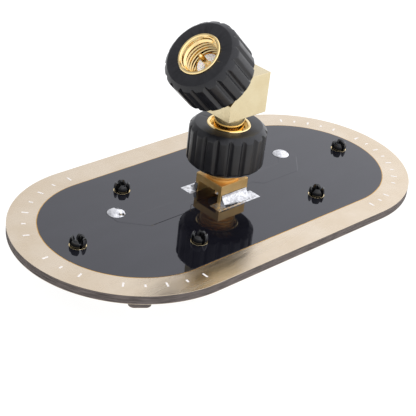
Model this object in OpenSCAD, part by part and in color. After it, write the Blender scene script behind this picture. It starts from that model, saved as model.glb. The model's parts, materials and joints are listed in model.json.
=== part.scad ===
// Dual patch antenna with a 45 degree coupling adapter on its jack.
// Millimetres, +Z up. The origin is on the surface that the rivet heads rest on,
// straight below the jack's axis. The adapter's upper arm leans towards -X.

/* [Ground board] */
// Overall length of the ground board
board_l = 83; // [80:0.5:90]
// Width of the ground board, and the diameter of its round ends
board_w = 42.3; // [41:0.1:46]
// Thickness of the ground board with its copper and its mask
board_t = 1.6; // [1.2:0.1:2.4]
// Width of the bare plated band round the edge
border_w = 5.1; // [3:0.1:5.2]

/* [Patches] */
// Radius of each patch board
patch_r = 13.6; // [13.4:0.1:14.2]
// Distance from a patch's centre to the end of its tuning tabs
tab_reach = 15.4; // [14.6:0.1:16]
// Width of a tuning tab
tab_w = 3.8; // [3:0.1:5]
// Angle of the tabs from the board's length
tab_turn = 56; // [45:1:60]
// Thickness of a patch board with its copper
patch_t = 1.0; // [0.8:0.1:1.6]
// Air gap between the ground board and the patches
air_gap = 3.7; // [3:0.1:6]
// Distance from a patch's centre to its feed
feed_offset = 4.55; // [4:0.05:6]

/* [Rivets] */
// Radius of the circle that a patch's three rivets stand on
rivet_circle_r = 11.7; // [11.6:0.1:11.8]
// Radius of the rivet's shank
shank_r = 1.25; // [1.15:0.05:1.3]
// Radius of the rivet's head
head_r = 1.9; // [1.8:0.1:2.2]
// Thickness of the rivet's head
head_t = 1.0; // [0.8:0.1:1.4]
// Height of the split tail above the board
tail_h = 1.5; // [1.4:0.1:2]

/* [Jack] */
// Side of the square flange
flange_w = 6.5; // [6.4:0.1:7]
// Height of the flange's top face above the board
flange_top = 3.55; // [3.4:0.05:3.8]
// Thickness of the flange
flange_t = 1.45; // [1.2:0.05:1.6]
// Height of the threaded barrel's tip above the board
jack_tip = 11.1; // [11.1:0.1:11.2]

/* [Coupling nuts] */
// Length of a coupling nut
nut_len = 8.1; // [8.1:0.05:8.3]
// Outer radius of a nut under its grip
nut_r = 3.85; // [3.8:0.05:4]
// Largest radius of the rubber grip
grip_r = 6.85; // [6.6:0.05:7.2]
// Radius of the grip's flat ends
grip_end_r = 6; // [5.6:0.05:6.2]
// Number of flutes round a grip
flutes = 18; // [12:1:20]

/* [Adapter] */
// Height above the board at which the two arms' axes cross
crossing_h = 19.5; // [19.5:0.1:20]
// Tilt of the upper arm away from the vertical
arm_tilt = 45; // [40:1:50]
// Distance from the crossing to the front of the upper nut
upper_reach = 13.1; // [13:0.05:13.6]
// Distance from the crossing to the block's sloping face
slope_d = 2.2; // [2:0.1:2.3]
// Width of the block across the plane of the two arms
block_w = 6.6; // [6.4:0.1:7.2]

/* [Hidden] */

$fn = 72;
fine = 32;              // sides of the smallest round things
eps = 0.01;             // a cut reaches this far past the face that it opens
slip = 0.02;            // radial gap between round pieces that are fixed together

// Colours
gold = [0.86, 0.70, 0.42];
pale_gold = [0.90, 0.82, 0.66];
bronze = [0.62, 0.44, 0.20];
copper = [0.78, 0.46, 0.30];
board_grey = [0.43, 0.39, 0.37];
mask_black = [0.05, 0.05, 0.06];
tin = [0.80, 0.80, 0.80];
black = [0.08, 0.08, 0.09];
rubber = [0.13, 0.13, 0.15];
white = [0.93, 0.91, 0.90];
silicone = [0.70, 0.25, 0.15];

// Ground board, measured down from its finished top face
board_top = head_t + patch_t + air_gap + board_t;
board_under = board_top - board_t;
film_t = 0.06;                       // plated copper on top
mask_t = 0.10;                       // mask, which covers the copper
foil_t = 0.05;                       // copper on an underside
film_top = board_top - mask_t + film_t;
core_top = board_top - mask_t;
core_under = board_under + foil_t;
end_x = (board_l - board_w) / 2;     // centre of a round end, which is also a patch's centre
inner_w = board_w - 2 * border_w;
inner_l = board_l - 2 * border_w;

// Rivets: the holes, the rings round them, and their places
rivet_hole_r = shank_r + 0.05;
land_r = 1.6;
outer_post = end_x + rivet_circle_r;
inner_post_x = end_x - rivet_circle_r * cos(60);
inner_post_y = rivet_circle_r * sin(60);
RIVETS = [
    [-outer_post, 0], [-inner_post_x, -inner_post_y], [-inner_post_x, inner_post_y],
    [inner_post_x, inner_post_y], [inner_post_x, -inner_post_y], [outer_post, 0],
];
rivet_bore_r = 0.7;
pin_head_r = 1.15;
pin_head_t = 0.4;
barb_r = 1.45;                       // widest radius of the split tail
tail_tip_r = 1.2;
slot_w = 0.6;                        // slots that split the tail in four
sleeve_r = 1.9;

// Feeds and the strip line that joins them
feed_pin_r = 0.4;
feed_hole_r = 0.5;
feed_clear_r = 1.3;                  // hole in the ground copper round a feed
dome_r = 1.65;
dome_h = 0.7;
line_w = 4;                          // the wide, low-impedance stretch
neck_w = 1;                          // the narrow stretch that runs into the jack
neck_x = 7.6;
line_x = 9.1;                        // where the wide stretch begins

// Jack, heights above the board
leg_t = 0.75;
leg_top = flange_top - flange_t;
pad_x = 5.05;
pad_in = flange_w / 2 - leg_t;
pad_out = 5.1;
thread_r = 3.17;
undercut_r = 2.8;
undercut_h = 0.4;
tip_h = 0.2;                         // bevel at the barrel's tip
jack_ref = jack_tip - 1.9;           // the plane at which the jack and the plug meet
jack_bore_r = 2.33;
core_r = 2.05;                       // bore that the fluoropolymer cores fill
socket_r = 0.5;
contact_r = 0.635;
tail_r = 0.45;
cone_r = 1.1;                        // foot of the solder round the contact's tail
centre_open_r = 1.2;                 // opening in the mask under the jack
fillet = 1.75;                       // reach of the solder fillet up the leg and over the pad
wrap = 0.5;                          // reach and height of the solder round the rear leg's end
wrap_h = 1.6;

// Coupling nut, distances back from its front face
plug_ref = 3.45;
shoulder_at = 5.7;
shoulder_end = 7.2;
mouth_r = 3.35;
thread_bore_r = 3.25;
nut_bore_r = 2.95;
recess_r = 3.3;
groove_at = 6.15;
groove_end = 6.85;
rear_lip = 7.3;
edge = 0.1;                          // small bevels on turned edges
grip_inset = 0.1;                    // the nut stands this proud of its grip at the rear
grip_step = 0.3;                     // and this proud of it at the front
bevel_len = 0.85;
flute_r = 0.62;
flute_centre = grip_r + 0.16;
lower_phase = 10;
upper_phase = 7.5;

// Adapter arms: distances along an arm, out from the crossing
lower_reach = crossing_h - jack_ref + plug_ref - 0.05;
tube_r = 2.27;
shoulder_r = 2.85;
neck_r = 2.65;
ring_groove_r = 2.4;
spigot = 1.2;                        // depth to which a barrel is pressed into the block
pin_tip_r = 0.457;
pin_len = 3;
tip_bevel = 0.2;

// Block: its outline in the plane of the two arms, from the crossing
block_front = -3.6;
block_back = 5.3;
block_drop = 3.5;
block_rise = 4.0;
plug_r = 1.9;
plug_t = 1.0;
access_r = 1.3;
cavity_r = core_r + 0.1;             // the lower bore, which runs past the crossing
cavity_rise = 1.3;

// ---------- places and shapes that repeat ----------

module stadium(l, w) {
    square([l - w, w], center = true);
    for (side = [-1, 1]) translate([side * (l - w) / 2, 0]) circle(d = w, $fn = 180);
}

module slab(l, w, z, t) {
    translate([0, 0, z]) linear_extrude(t) stadium(l, w);
}

module tube(r_out, r_in, z, h) {
    translate([0, 0, z]) difference() {
        cylinder(r = r_out, h = h);
        translate([0, 0, -eps]) cylinder(r = r_in, h = h + 2 * eps);
    }
}

module at_rivets() {
    for (p = RIVETS) translate([p[0], p[1], 0]) children();
}

module at_feeds() {
    for (side = [-1, 1]) translate([side * end_x, feed_offset, 0]) children();
}

// The arms: local +Z runs out along the arm from the crossing
module lower_arm() {
    translate([0, 0, board_top + crossing_h]) rotate([180, 0, 0]) children();
}

module upper_arm() {
    translate([0, 0, board_top + crossing_h]) rotate([0, -arm_tilt, 0]) children();
}

// The half of space on one side of the plane that the two arms' cores meet in
module beyond_mitre(side) {
    half = 20;
    turn = -arm_tilt / 2;
    translate([0, 0, board_top + crossing_h]) rotate([0, turn, 0])
        translate([-half, -half, side > 0 ? 0 : -2 * half]) cube(2 * half);
}

// ---------- ground board and what is on it ----------

module ground_board() {
    color(board_grey) difference() {
        slab(board_l, board_w, core_under, core_top - core_under);
        at_rivets() cylinder(r = rivet_hole_r, h = board_top + eps);
        at_feeds() cylinder(r = feed_hole_r, h = board_top + eps, $fn = fine);
    }
}

module ground_foil() {
    color(pale_gold) difference() {
        slab(board_l, board_w, board_under, foil_t);
        at_rivets() cylinder(r = rivet_hole_r, h = board_top);
        at_feeds() cylinder(r = feed_clear_r, h = board_top);
    }
}

module border_trim() {
    color(pale_gold) difference() {
        slab(board_l, board_w, core_top, film_t);
        slab(inner_l, inner_w, core_top - eps, film_t + 2 * eps);
    }
}

// One half of the strip line: a neck out of the jack, a wide stretch, and a slanting end to the feed
module trace_outline(side) {
    half = line_w / 2;
    neck = neck_w / 2;
    end_half = dome_r;
    mirror([side < 0 ? 0 : 1, 0]) {
        polygon([
            [0, -neck], [0, neck], [-neck_x, neck], [-line_x, half],
            [-end_x + end_half + 1.4, half], [-end_x + end_half, half + 1.4], [-end_x + end_half, feed_offset],
            [-end_x - end_half, feed_offset], [-end_x - end_half, half], [-end_x + end_half + 0.4, -half],
            [-line_x, -half], [-neck_x, -neck],
        ]);
        translate([-end_x, feed_offset]) circle(r = end_half);
    }
}

module trace_film(z, t) {
    translate([0, 0, z]) linear_extrude(t) {
        trace_outline(-1);
        trace_outline(1);
    }
}

module feed_trace() {
    color(copper) difference() {
        trace_film(core_top, film_t);
        at_feeds() cylinder(r = feed_pin_r + slip, h = board_top, $fn = fine);
    }
}

module post_lands() {
    color(gold) at_rivets() tube(land_r, rivet_hole_r, core_top, film_t);
}

module pads(z, t) {
    for (y = [-pad_out, pad_in]) translate([-pad_x, y, z]) cube([2 * pad_x, pad_out - pad_in, t]);
}

module ground_pads() {
    color(tin) pads(core_top, film_t);
}

module solder_mask() {
    color(mask_black) difference() {
        slab(inner_l, inner_w, core_top, mask_t);
        trace_film(core_top - eps, film_t + eps);
        at_rivets() cylinder(r = land_r, h = board_top + eps);
        at_feeds() cylinder(r = dome_r, h = board_top + eps);
        pads(core_top - eps, mask_t + 2 * eps);
        translate([0, 0, core_top]) cylinder(r = centre_open_r, h = mask_t + eps);
    }
}

// ---------- jack ----------

module jack_body() {
    color(bronze) translate([0, 0, board_top]) difference() {
        union() {
            translate([-flange_w / 2, -flange_w / 2, leg_top]) cube([flange_w, flange_w, flange_t]);
            for (y = [-flange_w / 2, flange_w / 2 - leg_t])
                translate([-flange_w / 2, y, film_t - mask_t]) cube([flange_w, leg_t, leg_top + mask_t - film_t]);
            translate([0, 0, leg_top]) cylinder(r = undercut_r, h = jack_tip - leg_top - 1);
            translate([0, 0, flange_top + undercut_h])
                cylinder(r = thread_r, h = jack_tip - flange_top - undercut_h - tip_h);
            translate([0, 0, jack_tip - tip_h]) cylinder(r1 = thread_r, r2 = thread_r - tip_h, h = tip_h);
        }
        translate([0, 0, leg_top - 1]) cylinder(r = core_r, h = jack_tip + 2);
        translate([0, 0, jack_ref]) cylinder(r = jack_bore_r, h = jack_tip);
    }
}

module jack_insulator() {
    color(white) translate([0, 0, board_top])
        tube(core_r - slip, contact_r + slip, leg_top, jack_ref - leg_top);
}

// A split socket at the top, and a thinner tail that stands on the strip line
module jack_contact() {
    socket_depth = 3.4;
    slit_w = 0.15;
    slit_len = 2.2;
    color(gold) translate([0, 0, board_top]) difference() {
        union() {
            translate([0, 0, leg_top]) cylinder(r = contact_r, h = jack_ref - leg_top);
            translate([0, 0, film_t - mask_t]) cylinder(r = tail_r, h = leg_top + mask_t, $fn = fine);
        }
        translate([0, 0, jack_ref - socket_depth]) cylinder(r = socket_r, h = socket_depth + 1);
        for (turn = [0, 90]) rotate([0, 0, turn])
            translate([-2, -slit_w / 2, jack_ref - slit_len]) cube([4, slit_w, slit_len + 1]);
    }
}

module centre_solder() {
    color(tin) translate([0, 0, film_top]) difference() {
        cylinder(r1 = cone_r, r2 = tail_r + 0.1, h = 0.7);
        translate([0, 0, -eps]) cylinder(r = tail_r + eps, h = 1, $fn = fine);
    }
}

// A hollow-faced fillet between a leg and its pad, as long as the flange
module solder_fillet() {
    lip = 0.08;
    rotate([90, 0, 90]) linear_extrude(flange_w - 0.2, center = true) difference() {
        square([fillet, fillet]);
        translate([fillet + lip, fillet + lip]) circle(r = fillet);
    }
}

module jack_solder_front() {
    color(tin) translate([0, -flange_w / 2, film_top]) mirror([0, 1, 0]) solder_fillet();
}

// The rear fillet also creeps round the end of its leg
module jack_solder_rear() {
    color(tin) translate([0, flange_w / 2, film_top]) difference() {
        union() {
            solder_fillet();
            translate([-flange_w / 2, 0, 0]) {
                cylinder(r1 = wrap, r2 = 0.1, h = wrap_h);
                rotate([90, 0, 0]) linear_extrude(leg_t - 0.1) polygon([[0, 0], [-wrap, 0], [-0.1, wrap_h], [0, wrap_h]]);
            }
        }
        translate([-flange_w / 2, -3, -1]) cube([flange_w, 3, 4]);
    }
}

// ---------- feeds and patches ----------

module feed_pin(side) {
    length = board_top + 0.3 - (head_t - 0.3);
    color(copper) translate([side * end_x, feed_offset, head_t - 0.3])
        cylinder(r = feed_pin_r, h = length, $fn = fine);
}

// A low dome of solder; its foot is on z, and it swells up or down
module solder_dome(side, z, up) {
    ball_r = (dome_r * dome_r + dome_h * dome_h) / (2 * dome_h);
    pin_end = 0.3 + mask_t;
    color(tin) translate([side * end_x, feed_offset, z]) mirror([0, 0, up ? 0 : 1]) difference() {
        translate([0, 0, dome_h - ball_r]) sphere(r = ball_r);
        translate([-20, -20, -40]) cube(40);
        translate([0, 0, -eps]) cylinder(r = feed_pin_r + slip, h = pin_end, $fn = fine);
    }
}

module patch_outline() {
    circle(r = patch_r, $fn = 120);
    for (turn = [tab_turn, tab_turn + 180]) rotate(turn) {
        translate([0, -tab_w / 2]) square([tab_reach - 1, tab_w]);
        translate([tab_reach - 1, 0]) {
            translate([0, -tab_w / 2 + 1]) square([1, tab_w - 2]);
            for (y = [-tab_w / 2 + 1, tab_w / 2 - 1]) translate([0, y]) circle(r = 1);
        }
    }
}

module patch_slab(side, z, t) {
    difference() {
        translate([side * end_x, 0, z]) linear_extrude(t) patch_outline();
        at_rivets() cylinder(r = rivet_hole_r, h = board_top);
        at_feeds() cylinder(r = feed_hole_r, h = board_top, $fn = fine);
    }
}

module patch_board(side) {
    color(board_grey) patch_slab(side, head_t + foil_t, patch_t - foil_t);
}

module patch_foil(side) {
    color(pale_gold) patch_slab(side, head_t, foil_t);
}

// ---------- rivets ----------

// Head below the patch, shank through both boards, and a barbed tail split in four
module rivet_body(i) {
    tail_from = board_top;
    slot_from = board_top - 1.2;
    color(black) translate([RIVETS[i][0], RIVETS[i][1], 0]) difference() {
        union() {
            rotate_extrude() polygon([
                [0, 0], [head_r - 0.25, 0], [head_r, 0.25], [head_r, head_t],
                [shank_r, head_t], [shank_r, tail_from], [barb_r, tail_from + 0.35],
                [barb_r, tail_from + 0.7], [tail_tip_r, tail_from + tail_h], [0, tail_from + tail_h],
            ]);
        }
        translate([0, 0, -1]) cylinder(r = rivet_bore_r, h = tail_from + tail_h + 2);
        translate([0, 0, -1]) cylinder(r = pin_head_r, h = pin_head_t + 1);
        for (turn = [45, 135]) rotate([0, 0, turn])
            translate([-3, -slot_w / 2, slot_from]) cube([6, slot_w, 4]);
    }
}

module rivet_pin(i) {
    tip = board_top + 0.75 * tail_h;
    color(black) translate([RIVETS[i][0], RIVETS[i][1], 0]) rotate_extrude() polygon([
        [0, 0], [pin_head_r - slip, 0], [pin_head_r - slip, pin_head_t], [rivet_bore_r - slip, pin_head_t],
        [rivet_bore_r - slip, tip - 0.4], [rivet_bore_r - 0.3, tip], [0, tip],
    ]);
}

module spacer_sleeve(i) {
    color(black) translate([RIVETS[i][0], RIVETS[i][1], 0])
        tube(sleeve_r, rivet_hole_r, head_t + patch_t, air_gap);
}

// ---------- coupling nuts, the same on both arms ----------

module coupling_nut(front) {
    color(gold) rotate_extrude() polygon([
        [mouth_r, front], [nut_r - edge, front], [nut_r, front - edge],
        [nut_r, front - nut_len + edge], [nut_r - edge, front - nut_len], [recess_r, front - nut_len],
        [recess_r, front - rear_lip], [nut_bore_r, front - rear_lip],
        [nut_bore_r, front - groove_end], [recess_r, front - groove_end],
        [recess_r, front - groove_at], [nut_bore_r, front - groove_at],
        [nut_bore_r, front - shoulder_at - 0.05], [thread_bore_r, front - shoulder_at - 0.05],
        [thread_bore_r, front - 0.3],
    ]);
}

module grip_ring(front, phase) {
    first = front - grip_step;
    last = front - nut_len + grip_inset;
    color(rubber) difference() {
        rotate_extrude() polygon([
            [nut_r + slip, first], [grip_end_r, first], [grip_r, first - bevel_len],
            [grip_r, last + bevel_len], [grip_end_r, last], [nut_r + slip, last],
        ]);
        for (i = [0 : flutes - 1]) rotate([0, 0, phase + i * 360 / flutes])
            translate([flute_centre, 0, last - 1]) cylinder(r = flute_r, h = nut_len + 2, $fn = fine);
    }
}

// A split ring in the facing grooves of the nut and the barrel
module snap_ring(front) {
    color(bronze) difference() {
        tube(recess_r - 0.1, ring_groove_r + 0.15, front - groove_end + 0.1, groove_end - groove_at - 0.2);
        translate([0, -0.6, front - groove_end]) cube([5, 1.2, 2]);
    }
}

module gasket(front) {
    color(silicone) tube(nut_bore_r, tube_r + slip, front - shoulder_at, 0.35);
}

// ---------- adapter ----------

// Turned barrel: spigot in the block, neck, grooved shoulder and the thin plug tube
module plug_barrel(front, seat) {
    root = seat - spigot;
    color(gold) rotate_extrude() polygon([
        [core_r, root], [neck_r, root], [neck_r, front - shoulder_end],
        [shoulder_r, front - shoulder_end], [shoulder_r, front - groove_end + 0.05],
        [ring_groove_r, front - groove_end + 0.05], [ring_groove_r, front - groove_at - 0.05],
        [shoulder_r, front - groove_at - 0.05], [shoulder_r, front - shoulder_at],
        [tube_r, front - shoulder_at], [tube_r, front - plug_ref], [core_r, front - plug_ref],
    ]);
}

// The core of one arm, from the plane where the two cores meet to the plug's face
module plug_core(front) {
    tube(core_r - slip, contact_r + slip, -2, front - plug_ref + 2);
}

module plug_pin(front) {
    shoulder = front - plug_ref;
    rotate_extrude($fn = fine) polygon([
        [0, -2], [contact_r, -2], [contact_r, shoulder], [pin_tip_r, shoulder],
        [pin_tip_r, shoulder + pin_len - tip_bevel], [pin_tip_r - tip_bevel, shoulder + pin_len],
        [0, shoulder + pin_len],
    ]);
}

module block_outline() {
    reach = slope_d / cos(arm_tilt);
    polygon([
        [block_front, -block_drop], [block_back, -block_drop], [block_back, block_rise],
        [(block_rise * cos(arm_tilt) - slope_d) / sin(arm_tilt), block_rise],
        [block_front, reach + block_front * tan(arm_tilt)],
    ]);
}

module adapter_block() {
    middle = board_top + crossing_h;
    color(pale_gold) difference() {
        translate([0, 0, middle]) rotate([90, 0, 0])
            linear_extrude(block_w, center = true) block_outline();
        lower_arm() translate([0, 0, block_drop - spigot]) cylinder(r = neck_r + slip, h = spigot + eps);
        upper_arm() translate([0, 0, slope_d - spigot]) cylinder(r = neck_r + slip, h = spigot + 5);
        lower_arm() translate([0, 0, -cavity_rise]) cylinder(r = cavity_r, h = cavity_rise + block_drop);
        upper_arm() translate([0, 0, -0.5]) cylinder(r = core_r, h = 0.5 + slope_d);
        translate([0, 0, middle]) rotate([0, 90, 0]) cylinder(r = access_r, h = block_back + 1);
        translate([block_back - plug_t, 0, middle]) rotate([0, 90, 0]) cylinder(r = plug_r, h = plug_t + 1);
    }
}

module access_plug() {
    color(gold) translate([block_back - plug_t, 0, board_top + crossing_h]) rotate([0, 90, 0])
        cylinder(r = plug_r - slip, h = plug_t);
}

module lower_barrel() {
    lower_arm() plug_barrel(lower_reach, block_drop);
}

module upper_barrel() {
    upper_arm() plug_barrel(upper_reach, slope_d);
}

module lower_insulator() {
    color(white) difference() {
        lower_arm() plug_core(lower_reach);
        beyond_mitre(1);
    }
}

module upper_insulator() {
    color(white) difference() {
        upper_arm() plug_core(upper_reach);
        beyond_mitre(-1);
    }
}

module lower_pin() {
    color(gold) difference() {
        lower_arm() plug_pin(lower_reach);
        beyond_mitre(1);
    }
}

module upper_pin() {
    color(gold) difference() {
        upper_arm() plug_pin(upper_reach);
        beyond_mitre(-1);
    }
}

// ---------- nodes ----------

ground_board();
ground_foil();
border_trim();
solder_mask();
feed_trace();
post_lands();
ground_pads();
jack_body();
jack_insulator();
jack_contact();
centre_solder();
jack_solder_front();
jack_solder_rear();
feed_pin(-1);  // feed_pin_left
feed_pin(1);  // feed_pin_right
solder_dome(-1, film_top, true);  // feed_solder_left
solder_dome(1, film_top, true);  // feed_solder_right
patch_board(-1);  // patch_board_left
patch_board(1);  // patch_board_right
patch_foil(-1);  // patch_foil_left
patch_foil(1);  // patch_foil_right
solder_dome(-1, head_t, false);  // patch_solder_left
solder_dome(1, head_t, false);  // patch_solder_right
for (i = [0 : len(RIVETS) - 1]) {
    rivet_body(i);
    rivet_pin(i);
    spacer_sleeve(i);
}
lower_arm() snap_ring(lower_reach);  // lower_snap_ring
lower_arm() coupling_nut(lower_reach);  // lower_nut
lower_arm() grip_ring(lower_reach, lower_phase);  // lower_grip
adapter_block();
access_plug();
lower_barrel();
upper_barrel();
lower_arm() gasket(lower_reach);  // lower_gasket
upper_arm() gasket(upper_reach);  // upper_gasket
lower_insulator();
upper_insulator();
lower_pin();
upper_pin();
upper_arm() snap_ring(upper_reach);  // upper_snap_ring
upper_arm() coupling_nut(upper_reach);  // upper_nut
upper_arm() grip_ring(upper_reach, upper_phase);  // upper_grip
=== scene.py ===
"""The looks of a flat dual patch antenna whose jack carries a 45 degree coupling adapter.

Pieces are modelled in millimetres, each in the frame that suits it, and are then set in place
in metres in the row frame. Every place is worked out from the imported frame. BOARD_TOP is the
mask's top face, PAST is how far a tool runs past what it cuts, and an arm's own +Z runs out
from the crossing.
"""

import json
import logging
import math
from contextlib import contextmanager
from dataclasses import dataclass
from enum import Enum
from typing import Callable, Iterator, Sequence

import bmesh
import bpy
from mathutils import Matrix, Vector


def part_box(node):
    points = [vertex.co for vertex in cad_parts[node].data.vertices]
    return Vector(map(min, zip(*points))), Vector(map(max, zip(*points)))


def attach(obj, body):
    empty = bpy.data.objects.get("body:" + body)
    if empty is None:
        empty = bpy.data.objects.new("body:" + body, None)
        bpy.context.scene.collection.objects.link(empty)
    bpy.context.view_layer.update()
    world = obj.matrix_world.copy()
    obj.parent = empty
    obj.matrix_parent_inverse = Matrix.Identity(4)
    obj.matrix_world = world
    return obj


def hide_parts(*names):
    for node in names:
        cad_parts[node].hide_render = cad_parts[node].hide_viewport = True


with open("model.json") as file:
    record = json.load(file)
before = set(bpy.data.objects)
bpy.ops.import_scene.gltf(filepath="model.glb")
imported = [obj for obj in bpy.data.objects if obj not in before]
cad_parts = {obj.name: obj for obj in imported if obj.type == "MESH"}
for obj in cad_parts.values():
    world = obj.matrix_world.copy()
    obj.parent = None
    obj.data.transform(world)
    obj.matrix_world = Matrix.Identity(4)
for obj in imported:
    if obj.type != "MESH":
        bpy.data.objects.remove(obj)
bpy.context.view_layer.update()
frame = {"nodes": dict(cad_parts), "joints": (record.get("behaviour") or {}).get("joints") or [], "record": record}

LOG = logging.getLogger("antenna")
MM = 0.001
Point = tuple[float, float]
Colour = tuple[float, float, float]
Object = bpy.types.Object
Socket = bpy.types.NodeSocket


class Part(Enum):
    """The kinds of element that edit mode selects."""

    VERTS = "VERT"
    EDGES = "EDGE"
    FACES = "FACE"


class Join(Enum):
    """The ways two solids are combined."""

    ADD = "UNION"
    CUT = "DIFFERENCE"
    KEEP = "INTERSECT"


# ---------------------------------------------------------------- the frame


def span(node: str) -> tuple[Vector, Vector]:
    """Gives a CAD node's lowest and highest corners, in millimetres."""
    low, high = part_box(node)
    return low / MM, high / MM


def middle(node: str) -> Vector:
    """Gives the centre of a CAD node's box, in millimetres."""
    low, high = span(node)
    return (low + high) / 2


def joint(name: str) -> dict:
    """Gives a joint's row from the frame."""
    return next(row for row in frame["joints"] if row["name"] == name)


def mount(name: str) -> dict:
    """Gives a mount's row from the record."""
    return next(row for row in frame["record"]["mounts"] if row["name"] == name)


CROSSING = Vector(joint("adapter_swivel")["pos_m"]) / MM
LOWER_REACH = CROSSING.z - span("lower_nut")[0].z
UPPER_REACH = (Vector(mount("upper_coupling_thread")["pos_m"]) / MM - CROSSING).length
UPPER_AXIS = Vector(joint("upper_nut_spin")["axis"])
ARM_TILT = math.atan2(-UPPER_AXIS.x, UPPER_AXIS.z)
LOWER_ARM = Matrix.Translation(CROSSING) @ Matrix.Rotation(math.pi, 4, "X")
UPPER_ARM = Matrix.Translation(CROSSING) @ Matrix.Rotation(-ARM_TILT, 4, "Y")
BOARD_TOP = span("solder_mask")[1].z
RIVETS = [middle(f"rivet_body_{i}") for i in range(1, 7)]
FEEDS = [middle("feed_solder_left"), middle("feed_solder_right")]
PAST = 1.0
UPRIGHT = Matrix.Identity(4)
ACROSS = Matrix.Rotation(math.pi / 2, 4, "Y")


# ---------------------------------------------------------------- modelling


def activate(piece: Object, *others: Object) -> None:
    """Selects these objects alone and makes the first one active."""
    bpy.ops.object.select_all(action="DESELECT")
    for each in (piece, *others):
        each.select_set(True)
    bpy.context.view_layer.objects.active = piece


@contextmanager
def editing(piece: Object) -> Iterator[None]:
    """Opens edit mode on a piece with everything selected, and closes it again."""
    activate(piece)
    bpy.ops.object.mode_set(mode="EDIT")
    bpy.ops.mesh.select_mode(type=Part.VERTS.value)
    bpy.ops.mesh.select_all(action="SELECT")
    yield
    bpy.ops.object.mode_set(mode="OBJECT")


def pick(piece: Object, part: Part, test: Callable) -> None:
    """Selects, in edit mode, the elements for which the test holds.

    Args:
        piece: The object that is being edited.
        part: The kind of element.
        test: Takes a vertex, edge or face and says whether it is selected.
    """
    bpy.ops.mesh.select_mode(type=part.value)
    bpy.ops.mesh.select_all(action="DESELECT")
    mesh = bmesh.from_edit_mesh(piece.data)
    mesh.normal_update()
    found = {Part.VERTS: mesh.verts, Part.EDGES: mesh.edges, Part.FACES: mesh.faces}[part]
    for each in [each for each in found if test(each)]:
        each.select_set(True)
    bmesh.update_edit_mesh(piece.data)


def named(name: str) -> Object:
    """Names the object that an operator has just added, and gives it back."""
    piece = bpy.context.object
    piece.name = piece.data.name = name
    return piece


def drawn(name: str, points: Sequence[Vector], closed: bool = True) -> Object:
    """Draws a line through points by extruding one vertex from each to the next.

    Args:
        name: The new object's name.
        points: The line's corners, in order.
        closed: Whether the last point is joined to the first.

    Returns:
        An object of edges.
    """
    bpy.ops.object.select_all(action="DESELECT")
    bpy.ops.mesh.primitive_plane_add(size=1)
    piece = named(name)
    with editing(piece):
        bpy.ops.mesh.merge(type="CENTER")
        bpy.ops.transform.translate(value=points[0])
        for here, there in zip(points, points[1:]):
            bpy.ops.mesh.extrude_vertices_move(TRANSFORM_OT_translate={"value": there - here})
        if closed:
            ends = (points[0], points[-1])
            pick(piece, Part.VERTS, lambda v: min((v.co - end).length for end in ends) < 1e-5)
            bpy.ops.mesh.edge_face_add()
    return piece


def tidy_shell() -> None:
    """Merges doubled points and turns all faces outwards, in edit mode."""
    bpy.ops.mesh.select_all(action="SELECT")
    bpy.ops.mesh.remove_doubles(threshold=1e-4)
    bpy.ops.mesh.normals_make_consistent(inside=False)


def pull(x: float, y: float, z: float) -> None:
    """Extrudes what is selected, in edit mode."""
    bpy.ops.mesh.extrude_region_move(TRANSFORM_OT_translate={"value": (x, y, z)})


def turned(name: str, outline: Sequence[Point], steps: int = 72) -> Object:
    """Turns a profile round the Z axis, as on a lathe.

    Args:
        name: The new object's name.
        outline: (radius, height) corners round the profile. One that starts and ends on the
            axis is left open there.
        steps: Number of steps round the full turn.

    Returns:
        A closed solid.
    """
    on_axis = max(outline[0][0], outline[-1][0]) < 1e-6
    piece = drawn(name, [Vector((r, 0, z)) for r, z in outline], closed=not on_axis)
    with editing(piece):
        bpy.ops.mesh.spin(steps=steps, angle=math.tau, center=(0, 0, 0), axis=(0, 0, 1))
        tidy_shell()
    return piece


def plate(name: str, outline: Sequence[Point], low: float, high: float) -> Object:
    """Raises a flat outline into a plate.

    Args:
        name: The new object's name.
        outline: (x, y) corners in order.
        low: Height of the underside.
        high: Height of the top.

    Returns:
        A closed solid.
    """
    piece = drawn(name, [Vector((x, y, low)) for x, y in outline])
    with editing(piece):
        bpy.ops.mesh.edge_face_add()
        pull(0, 0, high - low)
        tidy_shell()
    return piece


def box(name: str, low: Vector, high: Vector) -> Object:
    """Adds a cube and stretches it between two corners."""
    bpy.ops.object.select_all(action="DESELECT")
    bpy.ops.mesh.primitive_cube_add(size=1)
    piece = named(name)
    with editing(piece):
        bpy.ops.transform.resize(value=high - low)
        bpy.ops.transform.translate(value=(low + high) / 2)
    return piece


def rod(name: str, radius: float, low: float, high: float, at: Point = (0, 0), steps: int = 48) -> Object:
    """Adds an upright round tool, used to bore holes.

    Args:
        name: The new object's name.
        radius: Its radius.
        low: Height of its foot.
        high: Height of its head.
        at: Where it stands.
        steps: Number of sides.

    Returns:
        A closed solid.
    """
    bpy.ops.object.select_all(action="DESELECT")
    bpy.ops.mesh.primitive_cylinder_add(
        vertices=steps, radius=radius, depth=high - low, location=(at[0], at[1], (low + high) / 2)
    )
    piece = named(name)
    bpy.ops.object.transform_apply(location=True, rotation=False, scale=False)
    return piece


def joined(pieces: Sequence[Object]) -> Object:
    """Makes several separate shells one object, and gives it back."""
    activate(*pieces)
    bpy.ops.object.join()
    return bpy.context.object


def through(low: Vector, high: Vector) -> Point:
    """Gives the heights between which a tool cuts right through a box."""
    return low.z - PAST, high.z + PAST


def bores(radius: float, spots: Sequence[Vector], low: float, high: float) -> Object:
    """Makes one tool of several upright rods.

    Args:
        radius: The rods' radius.
        spots: Where they stand.
        low: Height of their feet.
        high: Height of their heads.

    Returns:
        The tool.
    """
    return joined([rod("bore", radius, low, high, (spot.x, spot.y)) for spot in spots])


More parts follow.
